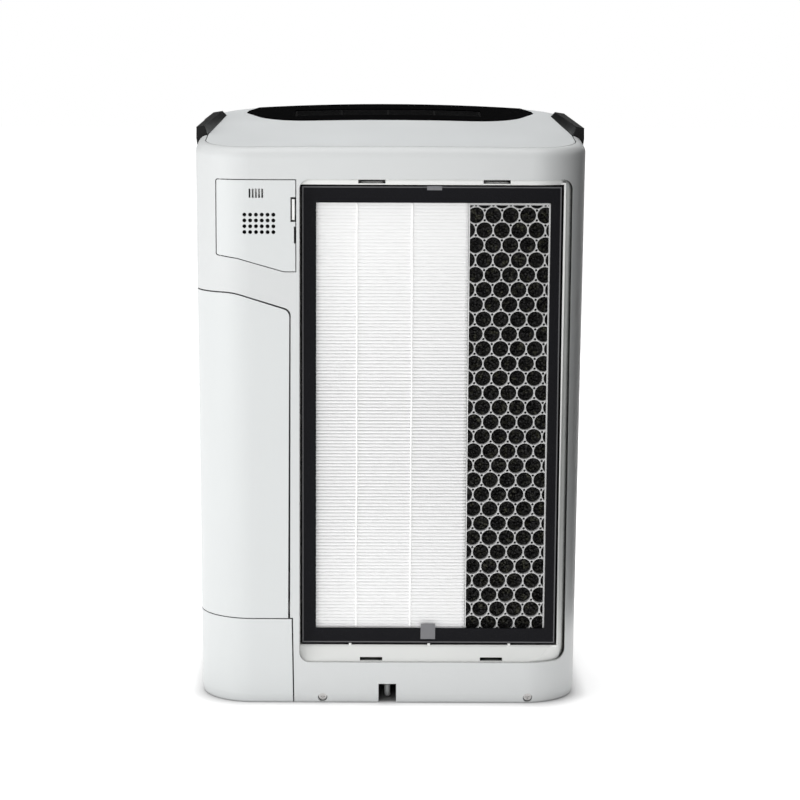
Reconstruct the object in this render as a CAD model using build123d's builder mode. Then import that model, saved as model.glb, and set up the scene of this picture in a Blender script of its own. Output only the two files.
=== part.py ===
from build123d import *
from math import cos, pi, radians, sin, tan
import os

# Floor-standing air purifier with a humidifier, its back cover off. Millimetres, +Z up.
# The open back faces -Y, the room side faces +Y, and the floor is at z = 0.

# ---------------------------------------------------------------- driving dimensions
BASE_WIDTH = 374  # outer width at the floor; the sides lean out towards the top
TOP_WIDTH = 381
DEPTH = 262
HEIGHT = 583
CORNER = 54  # plan radius of the four upright corners
WALL = 2.5  # moulded skin
SEAM = 0.8  # gap around each door, panel and cover
SKIRT_Z = 0.4  # lower edge of the skin, clear of the floor
CHAMFER_UP = 8.6  # the skirt draws in over this height
CHAMFER_IN = 1.5
SHOULDER = 10  # rounding between sides and roof
BACK = -DEPTH / 2
FRONT = DEPTH / 2
FORM_TOP = HEIGHT + 40
ROOF_REACH = 160
ROOF_BACK_Z, ROOF_BACK_SAG = 547.5, 1.5  # roof line at the back face, and its drop at the sides
ROOF_FRONT_Z, ROOF_FRONT_SAG = 582.4, 8
SAG_AT = 190

RECESS_X = (-88, 175.5)  # opening in the back skin for the filter cartridge
RECESS_Z = (41.3, 517.5)
RECESS_CORNER = 10
LEDGE_INSET = 4  # depth of the ledge inside the opening
BAY_GAP = 2.2  # air gap around the cartridge
BAY_BACK = -73  # deep end of the filter bay

CARTRIDGE_X = (-85.4, 164.5)
CARTRIDGE_Z = (58.5, 510.1)
CARTRIDGE_Y = (-118.5, -79)
WINDOW_X = (-72, 154.3)  # visible media inside the cartridge's face frame
WINDOW_Z = (73, 494.4)
MEDIA_SPLIT = 76  # pleated media to the left, honeycomb to the right
CASE_WALL = 1.2
PLEAT_PITCH = 3.3
PLEAT_DEPTH = 26
MEDIA_Y = -115.5  # face of both media
CELL_PITCH = 16.8
CELL_ROW = 14.46
CELL_HOLE = 14.9
CELL_DEPTH = 8
BEAD_X = (-32.3, 21.2)

DOOR_X = (-168, -91.6)
DOOR_TOP = 516.6
LATCH_Z = (478.5, 498.5)
HINGE_X, HINGE_Y = -164.0, -120.1
PIN_RADIUS = 1
PIN_CLEARANCE = 0.05
SLOT_PITCH, SLOT_SIZE, SLOT_AT = 3.03, (1.6, 8.7), (-129.4, 504)
HOLE_PITCH, HOLE_RADIUS, HOLES_AT = 5.57, 1.85, (-126.65, 475.15)

COLUMN_RIGHT = -97.5  # right edge of the tank panel
TANK_FRONT = 25  # how far the tank and tray reach towards the room
TANK_BOTTOM = 86.1
TANK_TOP = 407
TANK_CORNER = 390.6  # where the sloping top edge meets the right edge
TRAY_TOP = 85.2
TRAY_RIGHT = -95.6
CAP_AT = (-140, -50)  # filler cap below the tank
CAP_RADIUS = 22
NECK_RADIUS = 18

COVER_SEAM = 80  # the room-side cover starts here
COVER_TOP = 538
CAP_INSET = 9.5  # from the body's outline to the groove around the top cap
DECK_X, DECK_HALF = 1.5, 151.5  # middle of the deck, and its half width at the tips
DECK_Y = (26, 95, 120)  # back edge, tips and front edge
GRILLE_X, GRILLE_Y = (-97, 95), (52, 88)
TOUCH_X, TOUCH_Y = (-72, 70), (98, 115)
HANDLE_Y = (-45, 84)
POCKET_Y, POCKET_Z = (-46, 70), (510, 541)

FAN_X, FAN_Z = 42, 262
FAN_RADIUS = 104
FAN_Y = (-50, 6)
BLADES = 40

NOTCH_X, NOTCH_TOP = (-9.7, 7.7), 19.6
SCREW_X = (-65, 138)
CORD_DIAMETER = 6.2

os.makedirs("parts", exist_ok=True)

# ---------------------------------------------------------------- shared forms


def width_at(z):
    """Outer width of the body at a height."""
    return BASE_WIDTH + (TOP_WIDTH - BASE_WIDTH) * z / HEIGHT


def roof_line(y):
    """Middle height and side drop of the roof at a depth."""
    t = (y - BACK) / DEPTH
    middle = ROOF_BACK_Z + (ROOF_FRONT_Z - ROOF_BACK_Z) * t
    return middle, ROOF_BACK_SAG + (ROOF_FRONT_SAG - ROOF_BACK_SAG) * t


def roof_z(x, y):
    """Height of the roof over a point in plan."""
    middle, sag = roof_line(y)
    return middle - sag * (x / SAG_AT) ** 2


def facing_back(y):
    """A sketch plane at a depth, seen from the back: x is +X and y is +Z."""
    return Plane.XZ.offset(-y)


def body_form(inset, lift=0.0):
    """The whole outer form, drawn in by an inset, with its roof lifted."""
    with BuildPart() as form:
        sections = ((SKIRT_Z, CHAMFER_IN), (SKIRT_Z + CHAMFER_UP, 0), (FORM_TOP, 0))
        for z, extra in sections:
            reach = inset + extra
            with BuildSketch(Plane.XY.offset(z)):
                RectangleRounded(width_at(z) - 2 * reach, DEPTH - 2 * reach, CORNER - reach)
        loft(ruled=True)
        for y in (-ROOF_REACH, ROOF_REACH):
            middle, sag = roof_line(y)
            top = middle - inset + lift
            edge = top - sag * (220 / SAG_AT) ** 2
            with BuildSketch(facing_back(y)):
                with BuildLine():
                    ThreePointArc((-220, edge), (0, top), (220, edge))
                    Polyline((220, edge), (220, -10), (-220, -10), (-220, edge))
                make_face()
        loft(mode=Mode.INTERSECT)
        if inset < SHOULDER / 2 and lift == 0:
            roof = form.faces().sort_by(Axis.Z)[-1]
            fillet(roof.edges(), SHOULDER - inset)
    return form.part


def span_box(xs, ys, zs, mode=Mode.ADD):
    """Puts a box between two corners into the piece being built."""
    with Locations(((xs[0] + xs[1]) / 2, (ys[0] + ys[1]) / 2, (zs[0] + zs[1]) / 2)):
        Box(xs[1] - xs[0], ys[1] - ys[0], zs[1] - zs[0], mode=mode)


def grown(span, by):
    """A span widened at both ends."""
    return (span[0] - by, span[1] + by)


def back_prism(outline, near=BACK - 9, far=FRONT + 9):
    """A sketch drawn as seen from the back, extruded through the body."""
    with BuildPart() as prism:
        with BuildSketch(facing_back(near)):
            add(outline)
        extrude(amount=near - far)
    return prism.part


def rounded_outline(xs, zs, radius):
    """A rounded rectangle between two corners, as seen from the back."""
    with BuildSketch() as outline:
        with Locations(((xs[0] + xs[1]) / 2, (zs[0] + zs[1]) / 2)):
            RectangleRounded(xs[1] - xs[0], zs[1] - zs[0], radius)
    return outline.sketch


def form_within(inset, xs, ys, zs):
    """The outer form drawn in by an inset, cut to a box."""
    with BuildPart() as piece:
        add(body_form(inset))
        span_box(xs, ys, zs, Mode.INTERSECT)
    return piece.part


OUTER = body_form(0)
INNER = body_form(WALL)
with BuildPart() as skin_block:
    add(OUTER)
    add(INNER, mode=Mode.SUBTRACT)
SKIN = skin_block.part

# ---------------------------------------------------------------- outlines


def door_outline(grow):
    """The sensor door, with its lower edge dropping in a soft step to the right."""
    left, right = DOOR_X[0] - grow, DOOR_X[1] + grow
    with BuildSketch() as outline:
        with BuildLine():
            Polyline(
                (right, 429 - grow),
                (-103, 429 - grow),
                (-147, 441.5 - grow),
                (left, 444.5 - grow),
                (left, DOOR_TOP + grow),
                (right, DOOR_TOP + grow),
                close=True,
            )
        make_face()
        fillet([v for v in outline.vertices() if -150 < v.X < -100], 14)
        fillet([v for v in outline.vertices() if v.X < -160], 1.5 + grow)
    return outline.sketch


def tank_outline(grow):
    """The tank panel, with its top edge sloping down to a round corner."""
    right_low, right_high = COLUMN_RIGHT - 1.6 + grow * 1.6, COLUMN_RIGHT + grow
    with BuildSketch() as outline:
        with BuildLine():
            Polyline(
                (-230, TANK_BOTTOM - grow),
                (right_low, TANK_BOTTOM - grow),
                (right_high, TANK_CORNER + grow),
                (-152, TANK_TOP + 0.5 + grow),
                (-230, TANK_TOP + grow),
                close=True,
            )
        make_face()
        fillet(outline.vertices().sort_by(Axis.X)[-1], 8)
        fillet([v for v in outline.vertices() if -155 < v.X < -118], 60)
    return outline.sketch


def tray_outline(grow):
    """The tray face, down to the floor edge."""
    with BuildSketch() as outline:
        with BuildLine():
            Polyline(
                (-230, -5),
                (TRAY_RIGHT + 1.4 + grow, -5),
                (TRAY_RIGHT + grow, TRAY_TOP + grow),
                (-230, TRAY_TOP + grow),
                close=True,
            )
        make_face()
    return outline.sketch


RECESS = rounded_outline(RECESS_X, RECESS_Z, RECESS_CORNER)

with BuildSketch(Plane.XY.offset(HEIGHT - 60)) as cap_opening:
    top_width = TOP_WIDTH - 2 * CAP_INSET
    RectangleRounded(top_width, DEPTH - 2 * CAP_INSET, CORNER - CAP_INSET)


def deck_outline(grow):
    """The black deck in plan: a straight back edge that sweeps round to blunt tips."""
    back, tips, front = DECK_Y
    with BuildSketch(Plane.XY.offset(HEIGHT - 60)) as outline:
        with BuildLine():
            Polyline(
                (DECK_X - DECK_HALF + 13, front),
                (DECK_X - DECK_HALF, tips),
                (DECK_X - DECK_HALF + 32, back),
                (DECK_X + DECK_HALF - 32, back),
                (DECK_X + DECK_HALF, tips),
                (DECK_X + DECK_HALF - 13, front),
                close=True,
            )
        make_face()
        fillet(outline.vertices().group_by(Axis.Y)[0], 60)
        fillet(outline.vertices().filter_by_position(Axis.Y, tips - 1, tips + 1), 16)
        if grow:
            offset(amount=grow)
    return outline.sketch


def handle_outline(grow):
    """A handle's footprint in plan, on the left shoulder."""
    with BuildSketch(Plane.XY.offset(HEIGHT - 60)) as outline:
        with BuildLine():
            Polyline(
                (-230, HANDLE_Y[0] - grow),
                (-181.1 + grow, HANDLE_Y[0] - grow),
                (-169.3 + grow, HANDLE_Y[1] + grow),
                (-230, HANDLE_Y[1] + grow),
                close=True,
            )
        make_face()
    return outline.sketch


def handle_cut(grow):
    """The space a handle takes out of the left shoulder."""
    with BuildPart() as cut:
        extrude(handle_outline(grow), amount=110)
        span_box((-250, 0), (-150, 150), (545, 700), Mode.INTERSECT)
    return cut.part


with BuildPart() as handle_spaces:
    add(handle_cut(0.4))
    mirror(about=Plane.YZ)


def pocket_block(side, grow, reach):
    """A finger pocket's space in the side wall, below a handle."""
    inner = 166 - grow
    xs = (-reach, -inner) if side < 0 else (inner, reach)
    with BuildPart() as block:
        span_box(xs, grown(POCKET_Y, grow), grown(POCKET_Z, grow))
    return block.part


# ---------------------------------------------------------------- main housing
CHAMFER_TILT = (0, -CHAMFER_UP, -CHAMFER_IN)  # outward normal of the skirt at the back


def screw_plane(x, sink=0.0):
    """A plane on the skirt's chamfer at a base screw, sunk below the face."""
    face = Plane(
        origin=(x, BACK + CHAMFER_IN * 0.41, SKIRT_Z + CHAMFER_UP * 0.59),
        x_dir=(1, 0, 0),
        z_dir=CHAMFER_TILT,
    )
    return face.offset(-sink)


with BuildPart() as main_housing:
    add(SKIN)
    for x in SCREW_X:
        with BuildSketch(screw_plane(x, 7)):
            Circle(7.2)
        extrude(amount=7.3)
    span_box((-220, 220), (COVER_SEAM - SEAM, FRONT + 9), (0, COVER_TOP + SEAM), Mode.SUBTRACT)
    extrude(cap_opening.sketch, amount=100, mode=Mode.SUBTRACT)
    add(back_prism(RECESS, far=-60), mode=Mode.SUBTRACT)
    add(back_prism(door_outline(SEAM), far=-60), mode=Mode.SUBTRACT)
    add(back_prism(tank_outline(1.2), far=TANK_FRONT + 1), mode=Mode.SUBTRACT)
    add(back_prism(tray_outline(1.2), far=TANK_FRONT + 1), mode=Mode.SUBTRACT)
    add(handle_spaces.part, mode=Mode.SUBTRACT)
    for side in (-1, 1):
        add(pocket_block(side, 2.4, 230), mode=Mode.SUBTRACT)
    span_box(NOTCH_X, (BACK - 5, -100), (-5, NOTCH_TOP), Mode.SUBTRACT)
    for x in SCREW_X:
        with BuildSketch(screw_plane(x, 5)):
            Circle(4.6)
        extrude(amount=8, mode=Mode.SUBTRACT)
    # bosses at both ends of the door's hinge pins
    for low, high in ((DOOR_TOP + 1.4, DOOR_TOP + 7), (437, 443)):
        with BuildSketch(Plane.XY.offset(low)):
            with Locations((HINGE_X, HINGE_Y)):
                Circle(3.2)
        extrude(amount=high - low)
    add(OUTER, mode=Mode.INTERSECT)
    with BuildSketch(Plane.XY.offset(430)):
        with Locations((HINGE_X, HINGE_Y)):
            Circle(PIN_RADIUS)
    extrude(amount=DOOR_TOP - 422, mode=Mode.SUBTRACT)
main_housing.part.label = "main_housing"
export_step(main_housing.part, "parts/main_housing.step")

# ---------------------------------------------------------------- covers and top
with BuildPart() as front_panel:
    add(SKIN)
    span_box((-220, 220), (COVER_SEAM, FRONT + 9), (0, COVER_TOP), Mode.INTERSECT)
    span_box(grown(NOTCH_X, 1), (100, FRONT + 5), (-5, NOTCH_TOP + 1), Mode.SUBTRACT)
front_panel.part.label = "front_panel"
export_step(front_panel.part, "parts/front_panel.step")

with BuildPart() as top_cap:
    add(SKIN)
    with BuildSketch(Plane.XY.offset(HEIGHT - 60)):
        inset_width = TOP_WIDTH - 2 * (CAP_INSET + SEAM)
        inset_depth = DEPTH - 2 * (CAP_INSET + SEAM)
        RectangleRounded(inset_width, inset_depth, CORNER - CAP_INSET - SEAM)
    extrude(amount=100, mode=Mode.INTERSECT)
    extrude(deck_outline(0.4), amount=100, mode=Mode.SUBTRACT)
    add(handle_spaces.part, mode=Mode.SUBTRACT)
top_cap.part.label = "top_cap"
export_step(top_cap.part, "parts/top_cap.step")

DECK_LIFT = 1.0
with BuildPart() as top_deck:
    extrude(deck_outline(0), amount=100)
    add(body_form(0, DECK_LIFT), mode=Mode.INTERSECT)
    rim = top_deck.faces().sort_by(Axis.Z)[-1].edges()
    chamfer(rim, 0.8)
    add(body_form(0, -2.5), mode=Mode.SUBTRACT)
    span_box(grown(GRILLE_X, 0.3), grown(GRILLE_Y, 0.3), (500, 640), Mode.SUBTRACT)
    span_box(grown(TOUCH_X, 0.2), grown(TOUCH_Y, 0.2), (574, 640), Mode.SUBTRACT)
top_deck.part.label = "top_deck"
export_step(top_deck.part, "parts/top_deck.step")

with BuildPart() as touch_panel:
    span_box(TOUCH_X, TOUCH_Y, (574.2, 640))
    add(body_form(0, DECK_LIFT - 0.3), mode=Mode.INTERSECT)
touch_panel.part.label = "touch_panel"
export_step(touch_panel.part, "parts/touch_panel.step")

SLAT_COUNT = 9
with BuildPart() as outlet_grille:
    with BuildSketch(Plane.XY.offset(540)):
        with Locations((sum(GRILLE_X) / 2, sum(GRILLE_Y) / 2)):
            Rectangle(GRILLE_X[1] - GRILLE_X[0], GRILLE_Y[1] - GRILLE_Y[0])
            Rectangle(
                GRILLE_X[1] - GRILLE_X[0] - 4, GRILLE_Y[1] - GRILLE_Y[0] - 4, mode=Mode.SUBTRACT
            )
    extrude(amount=60)
    slat_step = (GRILLE_Y[1] - GRILLE_Y[0] - 4) / SLAT_COUNT
    for i in range(1, SLAT_COUNT):
        y = GRILLE_Y[0] + 2 + i * slat_step
        slat = Plane(origin=(sum(GRILLE_X) / 2, y, 570), x_dir=(1, 0, 0), z_dir=(0, 0.4, 1))
        with BuildSketch(slat.offset(-20)):
            Rectangle(GRILLE_X[1] - GRILLE_X[0] - 3, 1.4)
        extrude(amount=40)
    for share in (0.25, 0.5, 0.75):
        x = GRILLE_X[0] + share * (GRILLE_X[1] - GRILLE_X[0])
        span_box((x - 1, x + 1), grown(GRILLE_Y, -1), (540, 600))
    add(body_form(0, DECK_LIFT - 0.9), mode=Mode.INTERSECT)
    add(body_form(0, -14), mode=Mode.SUBTRACT)
outlet_grille.part.label = "outlet_grille"
export_step(outlet_grille.part, "parts/outlet_grille.step")


def handle_section(y, outer_x, ridge_x, foot_x, rise):
    """A handle's cross-section: slanting outer face, a flat top, and a steep inner face."""
    edge = roof_z(185, y)
    side_x = -width_at(560) / 2
    with BuildSketch(facing_back(y)) as section:
        with BuildLine():
            Polyline(
                (side_x - 0.4, edge - 12),
                (side_x - 1.8, edge - 3),
                (outer_x, edge + rise - 1.5),
                (ridge_x, edge + rise),
                (foot_x, edge + 1.2),
                (foot_x, edge - 12),
                close=True,
            )
        make_face()
    return section.sketch


with BuildPart() as pocket_cup:
    add(pocket_block(-1, 2, 200))
    add(pocket_block(-1, 0, 230), mode=Mode.SUBTRACT)
    add(OUTER, mode=Mode.INTERSECT)

with BuildPart() as handle_left:
    # grip bar over the shoulder
    add(handle_section(HANDLE_Y[0], -192, -184, -181.3, 9.5))
    add(handle_section(HANDLE_Y[1], -183, -173.6, -169.5, 5.5))
    loft()
    add(handle_cut(0), mode=Mode.INTERSECT)
    # finger pocket below the grip
    add(pocket_cup.part)
    span_box((-187, -182), grown(POCKET_Y, -4), (POCKET_Z[1] + 1.9, 552))
handle_left.part.label = "handle_left"
export_step(handle_left.part, "parts/handle_left.step")
with BuildPart() as handle_right:
    mirror(handle_left.part, about=Plane.YZ)
handle_right.part.label = "handle_right"
export_step(handle_right.part, "parts/handle_right.step")

# ---------------------------------------------------------------- filter bay
BAY_X = grown(CARTRIDGE_X, BAY_GAP)
BAY_Z = grown(CARTRIDGE_Z, BAY_GAP)
RAMP_TOP_Z = BAY_Z[0]
RAMP_LOW_Z = RECESS_Z[0] + 0.5


def ramp_profile(points):
    """A profile across the depth, in Y and Z, carried along the opening's width."""
    with BuildPart() as ramp:
        with BuildSketch(Plane.YZ.offset(RECESS_X[0] - 2)):
            Polygon(*points, align=None)
        extrude(amount=RECESS_X[1] - RECESS_X[0] + 4)
    return ramp.part


ramp_face = ((BACK + 3.4, RAMP_LOW_Z - 3), (BACK + 3.4, RAMP_LOW_Z), (-120.4, RAMP_TOP_Z - 1.6))
plate_outline = rounded_outline((-90.4, 180), (RECESS_Z[0] - 5, RECESS_Z[1] + 5), 14)

with BuildPart() as opening_space:
    add(back_prism(RECESS, far=-60))
    add(body_form(LEDGE_INSET), mode=Mode.SUBTRACT)

with BuildPart() as sill:
    add(ramp_profile((*ramp_face, (-118.5, RAMP_TOP_Z), (-112, RAMP_TOP_Z), (-112, 39))))
    add(back_prism(plate_outline, far=-60), mode=Mode.INTERSECT)
    add(body_form(3.2), mode=Mode.INTERSECT)

with BuildPart() as filter_bay:
    add(back_prism(plate_outline, far=-60))
    add(INNER, mode=Mode.INTERSECT)
    add(body_form(10.5), mode=Mode.SUBTRACT)
    add(opening_space.part, mode=Mode.SUBTRACT)
    # sloping sill under the cartridge
    add(sill.part)
    over_sill = ramp_profile(
        (*ramp_face[1:], (-118.5, RAMP_TOP_Z), (-118.5, 62), (-150, 62), (-150, RAMP_LOW_Z))
    )
    add(over_sill, mode=Mode.SUBTRACT)
    # the box that the cartridge slides into
    span_box(grown(BAY_X, 2), (-118.5, BAY_BACK), grown(BAY_Z, 2))
    span_box(BAY_X, (BACK - 9, BAY_BACK + 9), BAY_Z, Mode.SUBTRACT)
    for x in (-38, 40, 119.5):
        span_box((x - 1.3, x + 1.3), (-119.5, -90), (BAY_Z[0] - 1, BAY_Z[0] + 1.7))
    # catch slots for the hooks of the back cover
    for x in (-18.4, 101.7):
        span_box((x - 13, x + 13), (BACK - 9, -118), (513.6, 517), Mode.SUBTRACT)
        span_box((x - 10.5, x + 10.5), (-124, -118), (513.2, 515.2))
    for x in (-17.2, 101.6):
        span_box((x - 11, x + 11), (BACK - 9, -112.5), (42.2, 45.4), Mode.SUBTRACT)
    add(body_form(0.9), mode=Mode.INTERSECT)
    span_box((-91.4, -88.2), (-128.6, -124), (484, 493), Mode.SUBTRACT)
filter_bay.part.label = "filter_bay"
export_step(filter_bay.part, "parts/filter_bay.step")

GRILLE_COLUMNS, GRILLE_ROWS = 9, 16
with BuildPart() as inlet_grille:
    span_box(grown(BAY_X, -0.1), (BAY_BACK - 3, BAY_BACK - 0.2), grown(BAY_Z, -0.1))
    with BuildSketch(facing_back(BAY_BACK - 4)):
        with Locations((sum(BAY_X) / 2, sum(BAY_Z) / 2)):
            step_x = (BAY_X[1] - BAY_X[0] - 14) / GRILLE_COLUMNS
            step_z = (BAY_Z[1] - BAY_Z[0] - 14) / GRILLE_ROWS
            with GridLocations(step_x, step_z, GRILLE_COLUMNS, GRILLE_ROWS):
                Rectangle(step_x - 3, step_z - 3)
    extrude(amount=-6, mode=Mode.SUBTRACT)
inlet_grille.part.label = "inlet_grille"
export_step(inlet_grille.part, "parts/inlet_grille.step")

# ---------------------------------------------------------------- filter cartridge
CASE_Y = CARTRIDGE_Y
with BuildPart() as filter_case:
    span_box(CARTRIDGE_X, CASE_Y, CARTRIDGE_Z)
    case_inside_x, case_inside_z = grown(CARTRIDGE_X, -CASE_WALL), grown(CARTRIDGE_Z, -CASE_WALL)
    span_box(case_inside_x, (CASE_Y[0] - 1, CASE_Y[1] - 1.5), case_inside_z, Mode.SUBTRACT)
    span_box(grown(CARTRIDGE_X, -10), (CASE_Y[1] - 3, CASE_Y[1] + 1), grown(CARTRIDGE_Z, -10),
             Mode.SUBTRACT)
filter_case.part.label = "filter_case"
export_step(filter_case.part, "parts/filter_case.step")

with BuildPart() as filter_frame:
    span_box(case_inside_x, (CASE_Y[0] + 0.2, CASE_Y[0] + 2.8), case_inside_z)
    span_box(WINDOW_X, (CASE_Y[0] - 1, CASE_Y[0] + 4), WINDOW_Z, Mode.SUBTRACT)
filter_frame.part.label = "filter_frame"
export_step(filter_frame.part, "parts/filter_frame.step")

with BuildPart() as frame_seal:
    span_box(grown(CARTRIDGE_X, -1), (CASE_Y[1], CASE_Y[1] + 2), grown(CARTRIDGE_Z, -1))
    span_box(grown(CARTRIDGE_X, -9), (CASE_Y[1] - 1, CASE_Y[1] + 3), grown(CARTRIDGE_Z, -9),
             Mode.SUBTRACT)
frame_seal.part.label = "frame_seal"
export_step(frame_seal.part, "parts/frame_seal.step")

MEDIA_Z = grown(CARTRIDGE_Z, -3.2)
MEDIA_X = grown(CARTRIDGE_X, -2)
SHEET = 6  # depth of the solid wedge at each fold, which makes the sheet about 0.5 thick
with BuildPart() as hepa_media:
    pleats = int((MEDIA_Z[1] - MEDIA_Z[0] - 2) / PLEAT_PITCH)
    first = (sum(MEDIA_Z) - pleats * PLEAT_PITCH) / 2
    folds = [
        (MEDIA_Y + (PLEAT_DEPTH - SHEET if i % 2 else 0), first + i * PLEAT_PITCH / 2)
        for i in range(2 * pleats + 1)
    ]
    behind = [(y + SHEET, z) for y, z in reversed(folds)]
    with BuildSketch(Plane.YZ.offset(MEDIA_X[0])):
        with BuildLine():
            Polyline(*folds, *behind, close=True)
        make_face()
    extrude(amount=MEDIA_SPLIT - 0.5 - MEDIA_X[0])
hepa_media.part.label = "hepa_media"
export_step(hepa_media.part, "parts/hepa_media.step")

with BuildPart() as glue_beads:
    for x in BEAD_X:
        span_box((x - 1.4, x + 1.4), (MEDIA_Y - 0.7, MEDIA_Y), grown(WINDOW_Z, -1))
glue_beads.part.label = "glue_beads"
export_step(glue_beads.part, "parts/glue_beads.step")

with BuildPart() as media_divider:
    span_box((MEDIA_SPLIT - 0.3, MEDIA_SPLIT + 0.5), (MEDIA_Y, CASE_Y[1] - 2), MEDIA_Z)
media_divider.part.label = "media_divider"
export_step(media_divider.part, "parts/media_divider.step")

CELL_FIRST = (99.2, 482.4)  # centre of one cell in the topmost full row
with BuildPart() as carbon_honeycomb:
    comb_x = (MEDIA_SPLIT + 0.7, MEDIA_X[1])
    with BuildSketch(facing_back(MEDIA_Y)):
        with Locations(((comb_x[0] + comb_x[1]) / 2, sum(MEDIA_Z) / 2)):
            Rectangle(comb_x[1] - comb_x[0], MEDIA_Z[1] - MEDIA_Z[0])
        cells = []
        for row in range(-29, 2):
            z = CELL_FIRST[1] + row * CELL_ROW
            start = CELL_FIRST[0] + (CELL_PITCH / 2 if row % 2 else 0)
            cells += [(start + k * CELL_PITCH, z) for k in range(-1, 4)]
        with Locations(*cells):
            Circle(CELL_HOLE / 2, mode=Mode.SUBTRACT)
    extrude(amount=-CELL_DEPTH)
carbon_honeycomb.part.label = "carbon_honeycomb"
export_step(carbon_honeycomb.part, "parts/carbon_honeycomb.step")

with BuildPart() as carbon_granules:
    span_box(comb_x, (MEDIA_Y + CELL_DEPTH, MEDIA_Y + CELL_DEPTH + 14), MEDIA_Z)
carbon_granules.part.label = "carbon_granules"
export_step(carbon_granules.part, "parts/carbon_granules.step")

TAB = 0.8
for name, x, zs in (
    ("pull_tab_top", 42, (CARTRIDGE_Z[1] - 3.4, CARTRIDGE_Z[1] + 0.6)),
    ("pull_tab_bottom", 39, (62.3, 77.8)),
):
    with BuildPart() as tab:
        span_box((x - 7.2, x + 7.2), (CASE_Y[0] - TAB, CASE_Y[0]), zs)
        if name == "pull_tab_top":
            span_box((x - 7.2, x + 7.2), (CASE_Y[0] - TAB, -100), (CARTRIDGE_Z[1], zs[1]))
    tab.part.label = name
    export_step(tab.part, f"parts/{name}.step")

# ---------------------------------------------------------------- sensor door
with BuildPart() as sensor_door:
    add(SKIN)
    add(back_prism(door_outline(0), far=-60), mode=Mode.INTERSECT)
    # air slots and sensing holes
    with BuildSketch(facing_back(BACK - 5)):
        with Locations(SLOT_AT):
            with GridLocations(SLOT_PITCH, 1, 5, 1):
                Rectangle(*SLOT_SIZE)
        with Locations(HOLES_AT):
            with GridLocations(HOLE_PITCH, HOLE_PITCH, 6, 4):
                Circle(HOLE_RADIUS)
    extrude(amount=-30, mode=Mode.SUBTRACT)
    # notch for the latch, and the finger slot below it
    span_box((-96.3, -80), (BACK - 5, -120), (LATCH_Z[0] - 1.8, LATCH_Z[1] + 1.8), Mode.SUBTRACT)
    span_box((-93, -80), (BACK - 5, -120), (456, 472), Mode.SUBTRACT)
    # hinge knuckles
    for low, high in ((505, 514.5), (447, 456.5)):
        with BuildSketch(Plane.XY.offset(low)):
            with Locations((HINGE_X, HINGE_Y)):
                Circle(2.5)
        extrude(amount=high - low)
    add(OUTER, mode=Mode.INTERSECT)
    with BuildSketch(Plane.XY.offset(430)):
        with Locations((HINGE_X, HINGE_Y)):
            Circle(PIN_RADIUS + PIN_CLEARANCE)
    extrude(amount=100, mode=Mode.SUBTRACT)
    # guide behind the latch
    span_box((-106, -97.2), (-128.6, -122), (474, 476.4))
    span_box((-106, -97.2), (-128.6, -122), (500.6, 503))
sensor_door.part.label = "sensor_door"
export_step(sensor_door.part, "parts/sensor_door.step")

with BuildPart() as door_hinge_pins:
    for low, high in ((505.5, DOOR_TOP + 6.5), (438, 456)):
        with BuildSketch(Plane.XY.offset(low)):
            with Locations((HINGE_X, HINGE_Y)):
                Circle(PIN_RADIUS)
        extrude(amount=high - low)
door_hinge_pins.part.label = "door_hinge_pins"
export_step(door_hinge_pins.part, "parts/door_hinge_pins.step")

with BuildPart() as door_latch:
    span_box((-94.9, -92.3), (BACK + 0.2, -122.5), LATCH_Z)
    span_box((-105, -92.3), (-126.5, -123.5), (478, 499))
    span_box((-94, -91.2), (-127.6, -124.5), (485, 492))
door_latch.part.label = "door_latch"
export_step(door_latch.part, "parts/door_latch.step")

with BuildPart() as sensor_box:
    span_box((-160, -94), (-113, -86), (437, 512))
    span_box((-158, -96), (-120, -88), (439, 510), Mode.SUBTRACT)
sensor_box.part.label = "sensor_box"
export_step(sensor_box.part, "parts/sensor_box.step")

with BuildPart() as dust_sensor:
    span_box((-146, -108), (-108, -90), (455, 486))
    with BuildSketch(facing_back(-109)):
        with Locations((-127, 470)):
            Circle(4.5)
    extrude(amount=-12, mode=Mode.SUBTRACT)
dust_sensor.part.label = "dust_sensor"
export_step(dust_sensor.part, "parts/dust_sensor.step")

with BuildPart() as odour_sensor:
    span_box((-137, -121), (-96, -90), (496, 508))
    with BuildSketch(facing_back(-96)):
        with Locations((-129.4, 502)):
            Circle(4.6)
    extrude(amount=9)
odour_sensor.part.label = "odour_sensor"
export_step(odour_sensor.part, "parts/odour_sensor.step")

# ---------------------------------------------------------------- water tank
GRIP_Y = (-54, -8)
GRIP_Z = (318, 356)
TRAY_GRIP_Z = (38, 62)


def grip_cup(outer_x, zs):
    """Walls of a scooped finger grip in the left side."""
    with BuildPart() as cup:
        span_box((-230, outer_x), GRIP_Y, zs)
        span_box((-240, outer_x - 2), grown(GRIP_Y, -2), grown(zs, -2), Mode.SUBTRACT)
        add(OUTER, mode=Mode.INTERSECT)
    return cup.part


def side_panel(outline, far, cup_x, zs):
    """A piece of skin that wraps the left back corner, with its finger grip."""
    with BuildPart() as panel:
        add(SKIN)
        add(back_prism(outline, far=far), mode=Mode.INTERSECT)
        span_box((-230, cup_x - 2), grown(GRIP_Y, -2), grown(zs, -2), Mode.SUBTRACT)
        add(grip_cup(cup_x, zs))
    return panel.part


with BuildPart() as tank_panel:
    add(side_panel(tank_outline(0), TANK_FRONT, -171, GRIP_Z))
tank_panel.part.label = "tank_panel"
export_step(tank_panel.part, "parts/tank_panel.step")

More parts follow.
